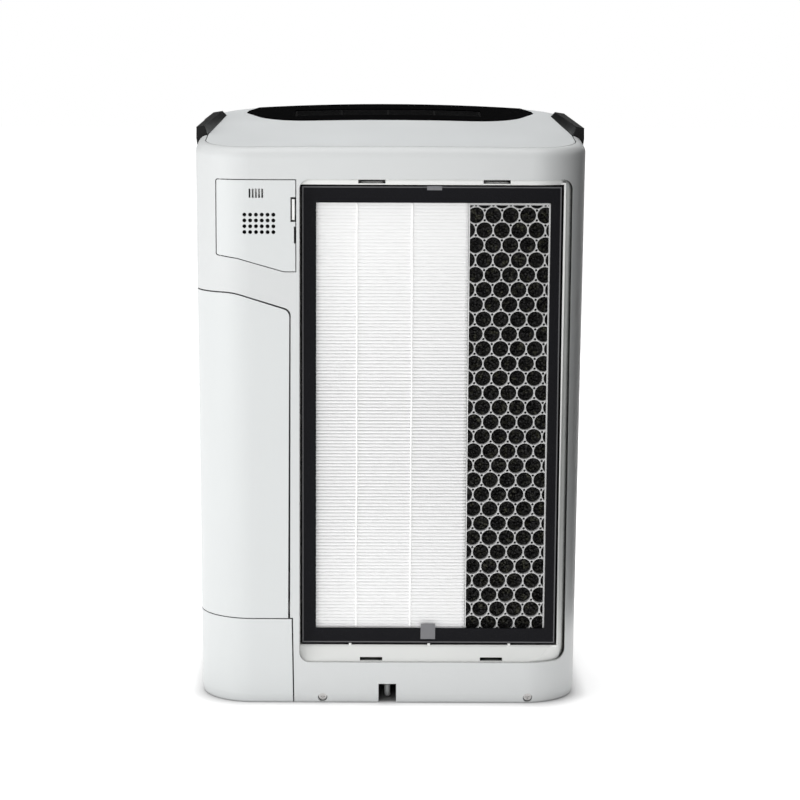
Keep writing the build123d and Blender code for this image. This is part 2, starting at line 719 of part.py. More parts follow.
VESSEL_X = (-230, -102)
VESSEL_Y = (-150, TANK_FRONT - 4)
VESSEL_Z = (99, 383)
VESSEL_SEAM = 103.5
CAP_Z = 86.6
with BuildPart() as water_space:
    add(form_within(6, (-230, -104.5), (-150, TANK_FRONT - 6.5), grown(VESSEL_Z, -2.5)))
    span_box((-230, -167), grown(GRIP_Y, 4), grown(GRIP_Z, 4), Mode.SUBTRACT)

with BuildPart() as tank_vessel:
    add(form_within(3.5, VESSEL_X, VESSEL_Y, (VESSEL_SEAM, VESSEL_Z[1])))
    span_box((-230, -169.5), grown(GRIP_Y, 1.5), grown(GRIP_Z, 1.5), Mode.SUBTRACT)
    add(water_space.part, mode=Mode.SUBTRACT)
tank_vessel.part.label = "tank_vessel"
export_step(tank_vessel.part, "parts/tank_vessel.step")

with BuildPart() as tank_base:
    # the welded bottom plate, with the filler neck
    add(form_within(3.5, VESSEL_X, VESSEL_Y, (VESSEL_Z[0], VESSEL_SEAM)))
    add(water_space.part, mode=Mode.SUBTRACT)
    with BuildSketch(Plane.XY.offset(CAP_Z + 3.9)):
        with Locations(CAP_AT):
            Circle(NECK_RADIUS)
    extrude(amount=VESSEL_Z[0] - CAP_Z - 3.9)
    with BuildSketch(Plane.XY.offset(CAP_Z)):
        with Locations(CAP_AT):
            Circle(NECK_RADIUS - 2.5)
    extrude(amount=20, mode=Mode.SUBTRACT)
tank_base.part.label = "tank_base"
export_step(tank_base.part, "parts/tank_base.step")

with BuildPart() as tank_cap:
    with BuildSketch(Plane.XY.offset(CAP_Z)):
        with Locations(CAP_AT):
            Circle(CAP_RADIUS)
            with PolarLocations(CAP_RADIUS + 0.4, 24):
                Circle(1.1, mode=Mode.SUBTRACT)
    extrude(amount=11.5)
    with BuildSketch(Plane.XY.offset(CAP_Z + 2.3)):
        with Locations(CAP_AT):
            Circle(NECK_RADIUS + 0.08)
    extrude(amount=12, mode=Mode.SUBTRACT)
    with BuildSketch(Plane.XY.offset(CAP_Z - 1)):
        with Locations(CAP_AT):
            Circle(3)
    extrude(amount=5, mode=Mode.SUBTRACT)
tank_cap.part.label = "tank_cap"
export_step(tank_cap.part, "parts/tank_cap.step")

with BuildPart() as tank_bay:
    span_box((-230, -94.6), (-150, TANK_FRONT + 4), (88, TANK_TOP + 4))
    span_box((-230, -96.4), (-150, TANK_FRONT + 2), (80, TANK_TOP + 2), Mode.SUBTRACT)
    add(body_form(WALL + 0.1), mode=Mode.INTERSECT)
    # rails under the two ends of the tank
    for ys in ((-112, -102), (TANK_FRONT - 8, TANK_FRONT + 4)):
        span_box((-164, -94.6), ys, (88, VESSEL_Z[0] - 1.4))
tank_bay.part.label = "tank_bay"
export_step(tank_bay.part, "parts/tank_bay.step")

# ---------------------------------------------------------------- water tray
with BuildPart() as tray_face:
    add(side_panel(tray_outline(0), TANK_FRONT, -171, TRAY_GRIP_Z))
tray_face.part.label = "tray_face"
export_step(tray_face.part, "parts/tray_face.step")
with BuildPart() as tray_pan:
    add(form_within(4.5, (-169.5, -100), (-150, TANK_FRONT - 5), (7, 76)))
    tray_space = form_within(7, (-167, -102.5), (-150, TANK_FRONT - 7.5), (9.5, 90))
    add(tray_space, mode=Mode.SUBTRACT)
tray_pan.part.label = "tray_pan"
export_step(tray_pan.part, "parts/tray_pan.step")

WICK_X, WICK_Y, WICK_Z = (-163, -107), (-20, 14), (10, 73)
with BuildPart() as wick_filter:
    with BuildSketch(Plane.XY.offset(WICK_Z[0])):
        with BuildLine():
            teeth = 14
            step = (WICK_X[1] - WICK_X[0]) / teeth
            near = [(WICK_X[0] + i * step, WICK_Y[0] + 3 * (i % 2)) for i in range(teeth + 1)]
            far = [(x, y + WICK_Y[1] - WICK_Y[0] - 3) for x, y in reversed(near)]
            Polyline(*near, *far, close=True)
        make_face()
    extrude(amount=WICK_Z[1] - WICK_Z[0])
wick_filter.part.label = "wick_filter"
export_step(wick_filter.part, "parts/wick_filter.step")

# ---------------------------------------------------------------- fan
SCROLL_RADIUS = 122
SCROLL_Y = (-66, 18)
with BuildPart() as fan_scroll:
    with BuildSketch(facing_back(SCROLL_Y[0])):
        with Locations((FAN_X, FAN_Z)):
            Circle(SCROLL_RADIUS)
        with Locations((FAN_X - SCROLL_RADIUS, FAN_Z)):
            Rectangle(SCROLL_RADIUS + 60, 220, align=(Align.MIN, Align.MIN))
    extrude(amount=SCROLL_Y[0] - SCROLL_Y[1])
    with BuildSketch(facing_back(SCROLL_Y[0] + 2.5)):
        with Locations((FAN_X, FAN_Z)):
            Circle(SCROLL_RADIUS - 2.5)
        with Locations((FAN_X - SCROLL_RADIUS + 2.5, FAN_Z)):
            Rectangle(SCROLL_RADIUS + 55, 230, align=(Align.MIN, Align.MIN))
    extrude(amount=SCROLL_Y[0] - SCROLL_Y[1] + 5, mode=Mode.SUBTRACT)
    with BuildSketch(facing_back(SCROLL_Y[0] - 1)):
        with Locations((FAN_X, FAN_Z)):
            Circle(88)
    extrude(amount=-6, mode=Mode.SUBTRACT)
    with BuildSketch(facing_back(SCROLL_Y[1] + 1)):
        with Locations((FAN_X, FAN_Z)):
            Circle(20)
    extrude(amount=8, mode=Mode.SUBTRACT)
fan_scroll.part.label = "fan_scroll"
export_step(fan_scroll.part, "parts/fan_scroll.step")

with BuildPart() as bell_mouth:
    # the lip flares towards the filter and narrows into the impeller's eye
    lip = ((-71, 100), (-71, 93), (-69.5, 88), (-66, 84.5), (-60, 82.2), (-53, 81.4),
           (-53, 83), (-60, 83.8), (-64, 85.4), (-66.3, 87.6), (-66.3, 100))
    with BuildSketch(Plane.YZ.offset(FAN_X)):
        Polygon(*[(y, FAN_Z + r) for y, r in lip], align=None)
    revolve(axis=Axis((FAN_X, 0, FAN_Z), (0, 1, 0)))
bell_mouth.part.label = "bell_mouth"
export_step(bell_mouth.part, "parts/bell_mouth.step")

SHAFT_RADIUS = 4
with BuildPart() as impeller:
    # back plate, hub and front ring
    for low, high, outer, inner in (
        (FAN_Y[1] - 2.5, FAN_Y[1], FAN_RADIUS, 0),
        (FAN_Y[0], FAN_Y[0] + 3, FAN_RADIUS, 86),
        (FAN_Y[1] - 32, FAN_Y[1], 15, 0),
    ):
        with BuildSketch(facing_back(low)):
            with Locations((FAN_X, FAN_Z)):
                Circle(outer)
                if inner:
                    Circle(inner, mode=Mode.SUBTRACT)
        extrude(amount=low - high)
    # forward-curved blades
    with BuildSketch(facing_back(FAN_Y[0] + 1)):
        with Locations((FAN_X, FAN_Z)):
            with PolarLocations(95, BLADES):
                with Locations(Location((0, 0, 0), (0, 0, 28))):
                    Rectangle(19, 1.3)
    extrude(amount=FAN_Y[0] - FAN_Y[1] + 2)
    with BuildSketch(facing_back(FAN_Y[0] - 40)):
        with Locations((FAN_X, FAN_Z)):
            Circle(SHAFT_RADIUS)
    extrude(amount=-120, mode=Mode.SUBTRACT)
impeller.part.label = "impeller"
export_step(impeller.part, "parts/impeller.step")

with BuildPart() as motor_shaft:
    with BuildSketch(facing_back(FAN_Y[1] - 40)):
        with Locations((FAN_X, FAN_Z)):
            Circle(SHAFT_RADIUS)
    extrude(amount=-74)
motor_shaft.part.label = "motor_shaft"
export_step(motor_shaft.part, "parts/motor_shaft.step")

with BuildPart() as impeller_nut:
    with BuildSketch(facing_back(FAN_Y[1] - 39)):
        with Locations((FAN_X, FAN_Z)):
            RegularPolygon(8, 6)
            Circle(SHAFT_RADIUS, mode=Mode.SUBTRACT)
    extrude(amount=-6.5)
impeller_nut.part.label = "impeller_nut"
export_step(impeller_nut.part, "parts/impeller_nut.step")

MOTOR_Y = (SCROLL_Y[1] + 6, SCROLL_Y[1] + 50)
with BuildPart() as motor_case:
    with BuildSketch(facing_back(MOTOR_Y[0])):
        with Locations((FAN_X, FAN_Z)):
            Circle(48)
            with PolarLocations(48, 20):
                Rectangle(5, 3, mode=Mode.SUBTRACT)
    extrude(amount=MOTOR_Y[0] - MOTOR_Y[1])
    with BuildSketch(facing_back(MOTOR_Y[0] - 1)):
        with Locations((FAN_X, FAN_Z)):
            Circle(SHAFT_RADIUS + 0.06)
    extrude(amount=-32, mode=Mode.SUBTRACT)
motor_case.part.label = "motor_case"
export_step(motor_case.part, "parts/motor_case.step")

with BuildPart() as motor_mount:
    with BuildSketch(facing_back(SCROLL_Y[1])):
        with Locations((FAN_X, FAN_Z)):
            Circle(56)
            Circle(24, mode=Mode.SUBTRACT)
            with PolarLocations(51, 3):
                Circle(2.2, mode=Mode.SUBTRACT)
    extrude(amount=SCROLL_Y[1] - MOTOR_Y[0])
motor_mount.part.label = "motor_mount"
export_step(motor_mount.part, "parts/motor_mount.step")

# duct from the scroll's mouth up to the outlet grille
SCROLL_TOP = FAN_Z + 220
DUCT_PROFILE = ((SCROLL_Y[0], SCROLL_TOP), (SCROLL_Y[1], SCROLL_TOP), (GRILLE_Y[1] + 2, 556),
                (GRILLE_Y[0] - 2, 552))
with BuildPart() as outlet_duct:
    duct_x = (FAN_X - SCROLL_RADIUS, FAN_X + 60)
    with BuildSketch(Plane.YZ.offset(duct_x[0])):
        Polygon(*DUCT_PROFILE, align=None)
    extrude(amount=duct_x[1] - duct_x[0])
    open_ends = (faces().sort_by(Axis.Z)[0], faces().filter_by(Plane.XY, reverse=True).sort_by(Axis.Z)[-1])
    offset(amount=-2, openings=open_ends)
outlet_duct.part.label = "outlet_duct"
export_step(outlet_duct.part, "parts/outlet_duct.step")

# ---------------------------------------------------------------- electronics
with BuildPart() as control_board:
    span_box((-76, 74), (96, 118), (560, 561.6))
    for x, y, wide in ((-60, 104, 8), (-30, 108, 5), (0, 103, 12), (34, 108, 6), (60, 104, 8)):
        span_box((x - wide / 2, x + wide / 2), (y - 3, y + 3), (561.6, 564.5))
control_board.part.label = "control_board"
export_step(control_board.part, "parts/control_board.step")

with BuildPart() as power_box:
    span_box((-62, 40), (76, 118), (30, 118))
    span_box((-60, 38), (78, 116), (32, 116), Mode.SUBTRACT)
    for i in range(6):
        z = 48 + 11 * i
        span_box((-50, 28), (70, 77), (z, z + 3), Mode.SUBTRACT)
power_box.part.label = "power_box"
export_step(power_box.part, "parts/power_box.step")

with BuildPart() as power_board:
    span_box((-58, 36), (112, 113.6), (36, 112))
    span_box((-46, -16), (92, 112), (50, 80))
    span_box((-4, 14), (96, 112), (44, 62))
    with BuildSketch(facing_back(112)):
        with Locations((4, 84), (24, 96)):
            Circle(7)
    extrude(amount=22)
power_board.part.label = "power_board"
export_step(power_board.part, "parts/power_board.step")

# ---------------------------------------------------------------- base
CHANNEL_X, CHANNEL_TOP = (-9, 7), 18.5
GLAND_AT = (-1, -117)
with BuildPart() as base_pan:
    with BuildSketch(Plane.XY.offset(3)):
        RectangleRounded(BASE_WIDTH - 18, DEPTH - 27, CORNER - 9)
    extrude(amount=2.5)
    span_box(grown(CHANNEL_X, 2), (BACK + 6.5, FRONT - 6.5), (3, CHANNEL_TOP + 2))
    with Locations((GLAND_AT[0], GLAND_AT[1], CHANNEL_TOP + 4)):
        Cylinder(9, 8)
    span_box(CHANNEL_X, (BACK - 9, FRONT + 9), (-1, CHANNEL_TOP), Mode.SUBTRACT)
    with Locations((GLAND_AT[0], GLAND_AT[1], 20)):
        Cylinder(5, 30, mode=Mode.SUBTRACT)
    add(body_form(3.2), mode=Mode.INTERSECT)
base_pan.part.label = "base_pan"
export_step(base_pan.part, "parts/base_pan.step")

FEET = [(x, y) for x in (-140, 140) for y in (-92, 92)]
with BuildPart() as feet:
    with BuildSketch():
        with Locations(*FEET):
            Circle(9)
    extrude(amount=3)
    chamfer(feet.faces().sort_by(Axis.Z)[:4].edges(), 0.6)
feet.part.label = "feet"
export_step(feet.part, "parts/feet.step")

with BuildPart() as base_screws:
    for x in SCREW_X:
        with BuildSketch(screw_plane(x, 5)):
            Circle(4)
        extrude(amount=2.4)
        with BuildSketch(screw_plane(x, 3.9)):
            Rectangle(4.4, 1.1)
            Rectangle(1.1, 4.4)
        extrude(amount=3, mode=Mode.SUBTRACT)
base_screws.part.label = "base_screws"
export_step(base_screws.part, "parts/base_screws.step")

# ---------------------------------------------------------------- power cord
GLAND_END, GLAND_TOP = 14.8, 35.5
with BuildPart() as cord_gland:
    with BuildSketch(Plane.XZ.offset(-GLAND_AT[1])) as gland_profile:
        with BuildLine():
            Polyline(
                (GLAND_AT[0], GLAND_END),
                (GLAND_AT[0] + 4.2, GLAND_END),
                (GLAND_AT[0] + 5, CHANNEL_TOP),
                (GLAND_AT[0] + 5, GLAND_TOP),
                (GLAND_AT[0], GLAND_TOP),
                close=True,
            )
        make_face()
    revolve(axis=Axis((GLAND_AT[0], GLAND_AT[1], 0), (0, 0, 1)))
cord_gland.part.label = "cord_gland"
export_step(cord_gland.part, "parts/cord_gland.step")

FLOOR_LINE = CORD_DIAMETER / 2 + 0.2
COIL_AT = (-2, 200)
COIL_RADIUS = 37
COIL_WIDE, COIL_HIGH = 20, 12.6
CORD_RUN = [
    (-1, -117, GLAND_END),
    (-1, -117, 8.2),
    (-0.7, -112.1, 3.8),
    (0, -105, 3.25),
    (1, -94, FLOOR_LINE),
    (-1.6, -74, FLOOR_LINE),
    (0.8, -36, FLOOR_LINE),
    (-2.2, 14, FLOOR_LINE),
    (0.4, 64, FLOOR_LINE),
    (-1.6, 106, FLOOR_LINE),
    (-0.4, 134, FLOOR_LINE),
    (5.5, 150.5, FLOOR_LINE),
    (17.4, 161.2, FLOOR_LINE),
]
CORD_TAIL = [
    (-16.8, 240.8, 9.5),
    (-35, 234, 8.4),
    (-51, 224, 5.4),
    (-66, 211, 3.8),
    (-80, 201.5, 6.2),
    (-96, 199, 9.2),
]


def cord_tube(points, name):
    """A cord's tube along straight runs joined by arcs as large as the runs allow."""
    spots = [Vector(*p) for p in points]
    radii = []
    for before, here, after in zip(spots, spots[1:], spots[2:]):
        turn = radians((here - before).get_angle(after - here))
        shorter = min((here - before).length, (after - here).length)
        radii.append(0.45 * shorter / tan(turn / 2))
    print(name, "radii", [round(r, 1) for r in radii])
    with BuildPart() as tube:
        with BuildLine() as path:
            FilletPolyline(*spots, radius=radii)
        with BuildSketch(Plane(origin=path.line @ 0, z_dir=path.line % 0)):
            Circle(CORD_DIAMETER / 2)
        sweep()
    length = sum(edge.length for edge in path.line.edges())
    section = pi * CORD_DIAMETER ** 2 / 4
    print(name, "length", round(length, 1), "volume share", round(tube.part.volume / section / length, 4))
    tube.part.label = name
    export_step(tube.part, f"parts/{name}.step")


cord_tube(CORD_RUN, "cord_run")
cord_tube(CORD_TAIL, "cord_tail")

TIE_ANGLE = 200
TIE_WIDE = 9
tie_radial = (COIL_RADIUS - COIL_WIDE / 2 - 0.4, COIL_RADIUS + COIL_WIDE / 2 + 0.4)
tie_plane = Plane(
    origin=(COIL_AT[0], COIL_AT[1], 0),
    x_dir=(cos(radians(TIE_ANGLE)), sin(radians(TIE_ANGLE)), 0),
    z_dir=(0, 0, 1),
)


def tie_block(shrink, lowest, highest, width):
    """A block around the coil's bundle where the tie sits."""
    with BuildPart() as block:
        with BuildSketch(tie_plane.offset(lowest)):
            with Locations(((tie_radial[0] + tie_radial[1]) / 2, 0)):
                Rectangle(tie_radial[1] - tie_radial[0] - 2 * shrink, width)
        extrude(amount=highest - lowest)
    return block.part


with BuildPart() as cord_tie:
    add(tie_block(0, 0.1, 0.1 + COIL_HIGH + 0.3, TIE_WIDE))
    add(tie_block(1.2, 1.1, 0.1 + COIL_HIGH - 0.6, TIE_WIDE + 4), mode=Mode.SUBTRACT)
cord_tie.part.label = "cord_tie"
export_step(cord_tie.part, "parts/cord_tie.step")

with BuildPart() as cord_coil:
    with BuildSketch(Plane.XY.offset(0.1)):
        with Locations(COIL_AT):
            Circle(COIL_RADIUS + COIL_WIDE / 2)
            Circle(COIL_RADIUS - COIL_WIDE / 2, mode=Mode.SUBTRACT)
    extrude(amount=COIL_HIGH)
    chamfer(cord_coil.edges().filter_by(GeomType.CIRCLE), 2)
    add(tie_block(-0.6, 0, 0.1 + COIL_HIGH + 0.4, TIE_WIDE + 0.6), mode=Mode.SUBTRACT)
    add(tie_block(1.4, 1.3, 0.1 + COIL_HIGH - 0.8, TIE_WIDE + 1))
cord_coil.part.label = "cord_coil"
export_step(cord_coil.part, "parts/cord_coil.step")

PLUG_X = (-136, -100)
with BuildPart() as plug_body:
    # the grip narrows towards the cord
    for x, wide, high in ((PLUG_X[0], 24, 17), (PLUG_X[0] + 12, 25, 18), (PLUG_X[1], 13, 12)):
        with BuildSketch(Plane.YZ.offset(x)):
            with Locations((199, 9.2)):
                RectangleRounded(wide, high, 5)
    loft()
    with BuildSketch(Plane.YZ.offset(PLUG_X[1])):
        with Locations((199, 9.2)):
            Circle(5)
    with BuildSketch(Plane.YZ.offset(-96)):
        with Locations((199, 9.2)):
            Circle(4.2)
    loft()
plug_body.part.label = "plug_body"
export_step(plug_body.part, "parts/plug_body.step")

with BuildPart() as plug_pins:
    for y in (199 - 6.35, 199 + 6.35):
        span_box((PLUG_X[0] - 17, PLUG_X[0]), (y - 0.8, y + 0.8), (9.2 - 3.2, 9.2 + 3.2))
plug_pins.part.label = "plug_pins"
export_step(plug_pins.part, "parts/plug_pins.step")
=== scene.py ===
"""Looks of an air purifier with its back cover off: cord, filter, materials, light and camera.

Everything is in metres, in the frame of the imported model: +Z up, the open back towards -Y.
"""

import random
from math import cos, pi, radians, sin, sqrt, tau

import bmesh
import bpy
from mathutils import Matrix, Vector, noise


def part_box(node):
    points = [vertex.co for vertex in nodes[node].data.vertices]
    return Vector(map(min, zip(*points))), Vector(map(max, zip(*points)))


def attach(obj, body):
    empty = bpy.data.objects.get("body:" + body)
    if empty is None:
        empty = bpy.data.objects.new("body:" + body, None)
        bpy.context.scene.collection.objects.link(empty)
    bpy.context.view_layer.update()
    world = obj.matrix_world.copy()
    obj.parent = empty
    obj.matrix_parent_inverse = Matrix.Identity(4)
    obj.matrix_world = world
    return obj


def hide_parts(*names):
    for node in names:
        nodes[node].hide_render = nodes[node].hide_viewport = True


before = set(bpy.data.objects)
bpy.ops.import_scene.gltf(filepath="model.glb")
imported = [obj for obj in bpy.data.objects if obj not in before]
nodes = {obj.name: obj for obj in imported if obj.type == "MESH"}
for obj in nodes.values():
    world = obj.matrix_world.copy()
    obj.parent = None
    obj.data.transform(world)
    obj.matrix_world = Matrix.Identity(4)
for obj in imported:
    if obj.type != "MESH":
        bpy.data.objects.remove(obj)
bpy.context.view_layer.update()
scene = bpy.context.scene
MM = 0.001

# ---------------------------------------------------------------- camera
CAMERA_AT, CAMERA_AIM = (-0.030, -2.3434, 0.6544), (-0.030, -0.131, 0.304)
CAMERA_LENS, CAMERA_SHIFT = 103.85, 0.0512
CAMERA_ROLL = 0.2  # degrees


def make_camera():
    """The photograph's view: square on to the back, 9 degrees down, from about 2.2 m."""
    data = bpy.data.cameras.new("camera")
    data.sensor_width = 36
    data.lens = CAMERA_LENS
    data.shift_x = CAMERA_SHIFT
    data.clip_end = 60
    camera = bpy.data.objects.new("camera", data)
    camera.location = CAMERA_AT
    aim = Vector(CAMERA_AIM) - camera.location
    camera.rotation_mode = "QUATERNION"
    roll = Matrix.Rotation(radians(CAMERA_ROLL), 3, "Z").to_quaternion()
    camera.rotation_quaternion = aim.to_track_quat("-Z", "Y") @ roll
    scene.collection.objects.link(camera)
    scene.camera = camera


# ---------------------------------------------------------------- mesh helpers
def new_object(name, verts, faces, smooth=True):
    """A mesh object from lists of corners and faces."""
    mesh = bpy.data.meshes.new(name)
    mesh.from_pydata(verts, [], faces)
    mesh.update()
    if smooth:
        mesh.polygons.foreach_set("use_smooth", [True] * len(mesh.polygons))
    obj = bpy.data.objects.new(name, mesh)
    scene.collection.objects.link(obj)
    return obj


def bridge_rings(name, rings, closed=False, smooth=True):
    """A skin over rings of equally many points, with flat ends unless the rings close on themselves."""
    count = len(rings[0])
    verts = [point for ring in rings for point in ring]
    faces = []
    last = len(rings) if closed else len(rings) - 1
    for i in range(last):
        here, there = i * count, (i + 1) % len(rings) * count
        for j in range(count):
            k = (j + 1) % count
            faces.append((here + j, here + k, there + k, there + j))
    if not closed:
        faces.append(tuple(reversed(range(count))))
        faces.append(tuple(range((len(rings) - 1) * count, len(rings) * count)))
    obj = new_object(name, verts, faces, smooth)
    tidy_normals(obj)
    return obj


def tidy_normals(obj):
    """Welds doubled corners and turns every face outward."""
    mesh = bmesh.new()
    mesh.from_mesh(obj.data)
    bmesh.ops.remove_doubles(mesh, verts=mesh.verts, dist=1e-6)
    bmesh.ops.recalc_face_normals(mesh, faces=mesh.faces)
    mesh.to_mesh(obj.data)
    mesh.free()


def lathe(name, profile, centre, segments=48):
    """Turns (radius, height) points about a vertical line."""
    rings = []
    for radius, z in profile:
        ring = []
        for i in range(segments):
            a = tau * i / segments
            ring.append((centre[0] + radius * cos(a), centre[1] + radius * sin(a), z))
        rings.append(ring)
    return bridge_rings(name, rings)


def superellipse(centre, across, up, wide, high, power, count=40):
    """A rounded-box ring of points about a centre."""
    ring = []
    for i in range(count):
        a = tau * i / count
        u = abs(cos(a)) ** (2 / power) * (1 if cos(a) >= 0 else -1)
        v = abs(sin(a)) ** (2 / power) * (1 if sin(a) >= 0 else -1)
        ring.append(Vector(centre) + Vector(across) * (u * wide / 2) + Vector(up) * (v * high / 2))
    return ring


# ---------------------------------------------------------------- materials
def build_material(name):
    """A new node material, its node tree and its shader."""
    material = bpy.data.materials.new(name)
    material.use_nodes = True
    tree = material.node_tree
    shader = tree.nodes["Principled BSDF"]
    return material, tree, shader


def surface(name, base, rough, grain=0.0004, depth=0.15, tone=0.03, patch=0.06, rough_span=0.06,
            metallic=0.0, coat=0.0, sheen=0.0, specular=0.5, edge=0.0, crevice=0.0, emission=0.0):
    """A moulded, painted or metal surface: fine grain in the bump, soft patches in tone and gloss.

    Sharp edges catch light over the width edge, and painted shade darkens the colour in gaps narrower
    than crevice. Emission, where set, is painted light: an even glow.
    """
    material, tree, shader = build_material(name)
    new, link = tree.nodes.new, tree.links.new
    place = new("ShaderNodeTexCoord")

    cloud = new("ShaderNodeTexNoise")
    cloud.inputs["Scale"].default_value = 1 / patch
    cloud.inputs["Detail"].default_value = 4
    link(place.outputs["Object"], cloud.inputs["Vector"])
    tint = new("ShaderNodeMix")
    tint.data_type = "RGBA"
    tint.inputs["A"].default_value = (*[c * (1 - tone) for c in base], 1)
    tint.inputs["B"].default_value = (*[min(c * (1 + tone), 1) for c in base], 1)
    link(cloud.outputs["Fac"], tint.inputs["Factor"])
    link(tint.outputs["Result"], shader.inputs["Base Color"])
    # painted shade: ambient occlusion darkens the base colour to near black in gaps narrower than crevice
    if crevice:
        hollow = new("ShaderNodeAmbientOcclusion")
        hollow.samples = 6
        hollow.inputs["Distance"].default_value = crevice
        deep = new("ShaderNodeMapRange")
        deep.inputs["From Min"].default_value = 0.28
        deep.inputs["From Max"].default_value = 0.62
        link(hollow.outputs["AO"], deep.inputs["Value"])
        painted_shade = new("ShaderNodeMix")
        painted_shade.data_type = "RGBA"
        painted_shade.inputs["A"].default_value = (*[c * 0.04 for c in base], 1)
        link(tint.outputs["Result"], painted_shade.inputs["B"])
        link(deep.outputs["Result"], painted_shade.inputs["Factor"])
        link(painted_shade.outputs["Result"], shader.inputs["Base Color"])

    fine = new("ShaderNodeTexNoise")
    fine.inputs["Scale"].default_value = 1 / grain
    fine.inputs["Detail"].default_value = 3
    link(place.outputs["Object"], fine.inputs["Vector"])
    gloss = new("ShaderNodeMapRange")
    gloss.inputs["To Min"].default_value = max(rough - rough_span, 0.02)
    gloss.inputs["To Max"].default_value = rough + rough_span
    link(cloud.outputs["Fac"], gloss.inputs["Value"])
    link(gloss.outputs["Result"], shader.inputs["Roughness"])
    bump = new("ShaderNodeBump")
    bump.inputs["Strength"].default_value = depth
    bump.inputs["Distance"].default_value = grain
    link(fine.outputs["Fac"], bump.inputs["Height"])
    if edge:
        rounded = new("ShaderNodeBevel")
        rounded.samples = 4
        rounded.inputs["Radius"].default_value = edge
        link(rounded.outputs["Normal"], bump.inputs["Normal"])
    link(bump.outputs["Normal"], shader.inputs["Normal"])

    shader.inputs["Metallic"].default_value = metallic
    shader.inputs["Coat Weight"].default_value = coat
    shader.inputs["Coat Roughness"].default_value = 0.03
    shader.inputs["Sheen Weight"].default_value = sheen
    shader.inputs["Specular IOR Level"].default_value = specular
    # painted light: the surface glows evenly with white emission
    if emission:
        shader.inputs["Emission Color"].default_value = (1, 1, 1, 1)
        shader.inputs["Emission Strength"].default_value = emission
    return material


def paint(node, material):
    """Gives a carried-over CAD node its material."""
    slots = nodes[node].data.materials
    slots.clear()
    slots.append(material)


def dress(obj, material, body):
    """Gives a new piece its material and its body."""
    obj.data.materials.clear()
    obj.data.materials.append(material)
    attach(obj, body)


def make_materials():
    """Every material, by the name of what it covers."""
    made = {}
    # crevice sets the reach of painted shade in the gaps of the white shells, the cap and the bay
    made["body"] = surface("body_white", (0.69, 0.705, 0.705), 0.42, grain=0.0005, depth=0.12,
                           tone=0.012, edge=0.0006, crevice=0.004)
    made["panel"] = surface("panel_white", (0.71, 0.73, 0.73), 0.38, grain=0.0005, depth=0.10,
                            tone=0.012, edge=0.0007, crevice=0.004)
    made["cap"] = surface("cap_white", (0.86, 0.885, 0.89), 0.34, grain=0.0006, depth=0.08,
                          tone=0.012, edge=0.0012, crevice=0.003)
    made["inner"] = surface("bay_white", (0.88, 0.89, 0.87), 0.45, grain=0.0004, depth=0.15,
                            tone=0.02, edge=0.0005, crevice=0.006)
    made["deck"] = surface("deck_gloss_black", (0.0006, 0.0006, 0.0008), 0.10, grain=0.003, depth=0.01,
                           rough_span=0.02, specular=0.004, edge=0.0005)
    made["grille"] = surface("grille_black", (0.0022, 0.0022, 0.0024), 0.4, specular=0.02)
    made["handle"] = handle_material()
    made["frame"] = surface("frame_black", (0.0026, 0.0026, 0.0046), 0.55, grain=0.0012, depth=0.25,
                            tone=0.15, patch=0.03, specular=0.16, edge=0.0006)
    made["case"] = surface("case_edge_grey", (0.10, 0.10, 0.105), 0.4, edge=0.0003)
    made["seal"] = surface("seal_foam", (0.02, 0.02, 0.022), 0.95, grain=0.0008, depth=0.8)
    # the glue's emission is painted light that makes its threads read brighter
    made["glue"] = surface("glue_bead", (0.96, 0.96, 0.95), 0.5, grain=0.0008, depth=0.1, tone=0.01,
                           emission=0.16)
    made["comb"] = surface("comb_plastic", (0.62, 0.62, 0.62), 0.3, grain=0.0006, depth=0.2, tone=0.15,
                           patch=0.02)
    made["divider"] = surface("divider_white", (0.9, 0.9, 0.9), 0.5)
    made["tab"] = surface("tab_grey", (0.20, 0.20, 0.21), 0.55, grain=0.0004, depth=0.5, tone=0.1)
    made["steel"] = surface("zinc_steel", (0.62, 0.61, 0.60), 0.28, grain=0.0003, depth=0.15,
                            metallic=1.0, tone=0.08, patch=0.01)
    made["brass"] = surface("nickel_brass", (0.74, 0.66, 0.48), 0.22, grain=0.0003, depth=0.08,
                            metallic=1.0, tone=0.06, patch=0.008)
    made["black"] = surface("inner_black", (0.006, 0.006, 0.007), 0.5, edge=0.0004)
    made["board"] = surface("board_green", (0.012, 0.09, 0.035), 0.3, grain=0.0015, depth=0.3,
                            tone=0.3, patch=0.006, coat=0.4)
    made["wick"] = surface("wick_fibre", (0.70, 0.75, 0.80), 0.9, grain=0.0015, depth=0.8, sheen=0.4)
    made["rubber"] = surface("foot_rubber", (0.03, 0.03, 0.032), 0.75, grain=0.0006, depth=0.4)
    made["cord"] = surface("cord_pvc", (0.42, 0.43, 0.43), 0.38, grain=0.0005, depth=0.2, tone=0.06)
    made["tie"] = surface("tie_plastic", (0.02, 0.02, 0.022), 0.5, grain=0.0004, depth=0.4)
    made["media"] = media_material()
    made["carbon"] = carbon_material()
    made["tank"] = tank_material()
    return made


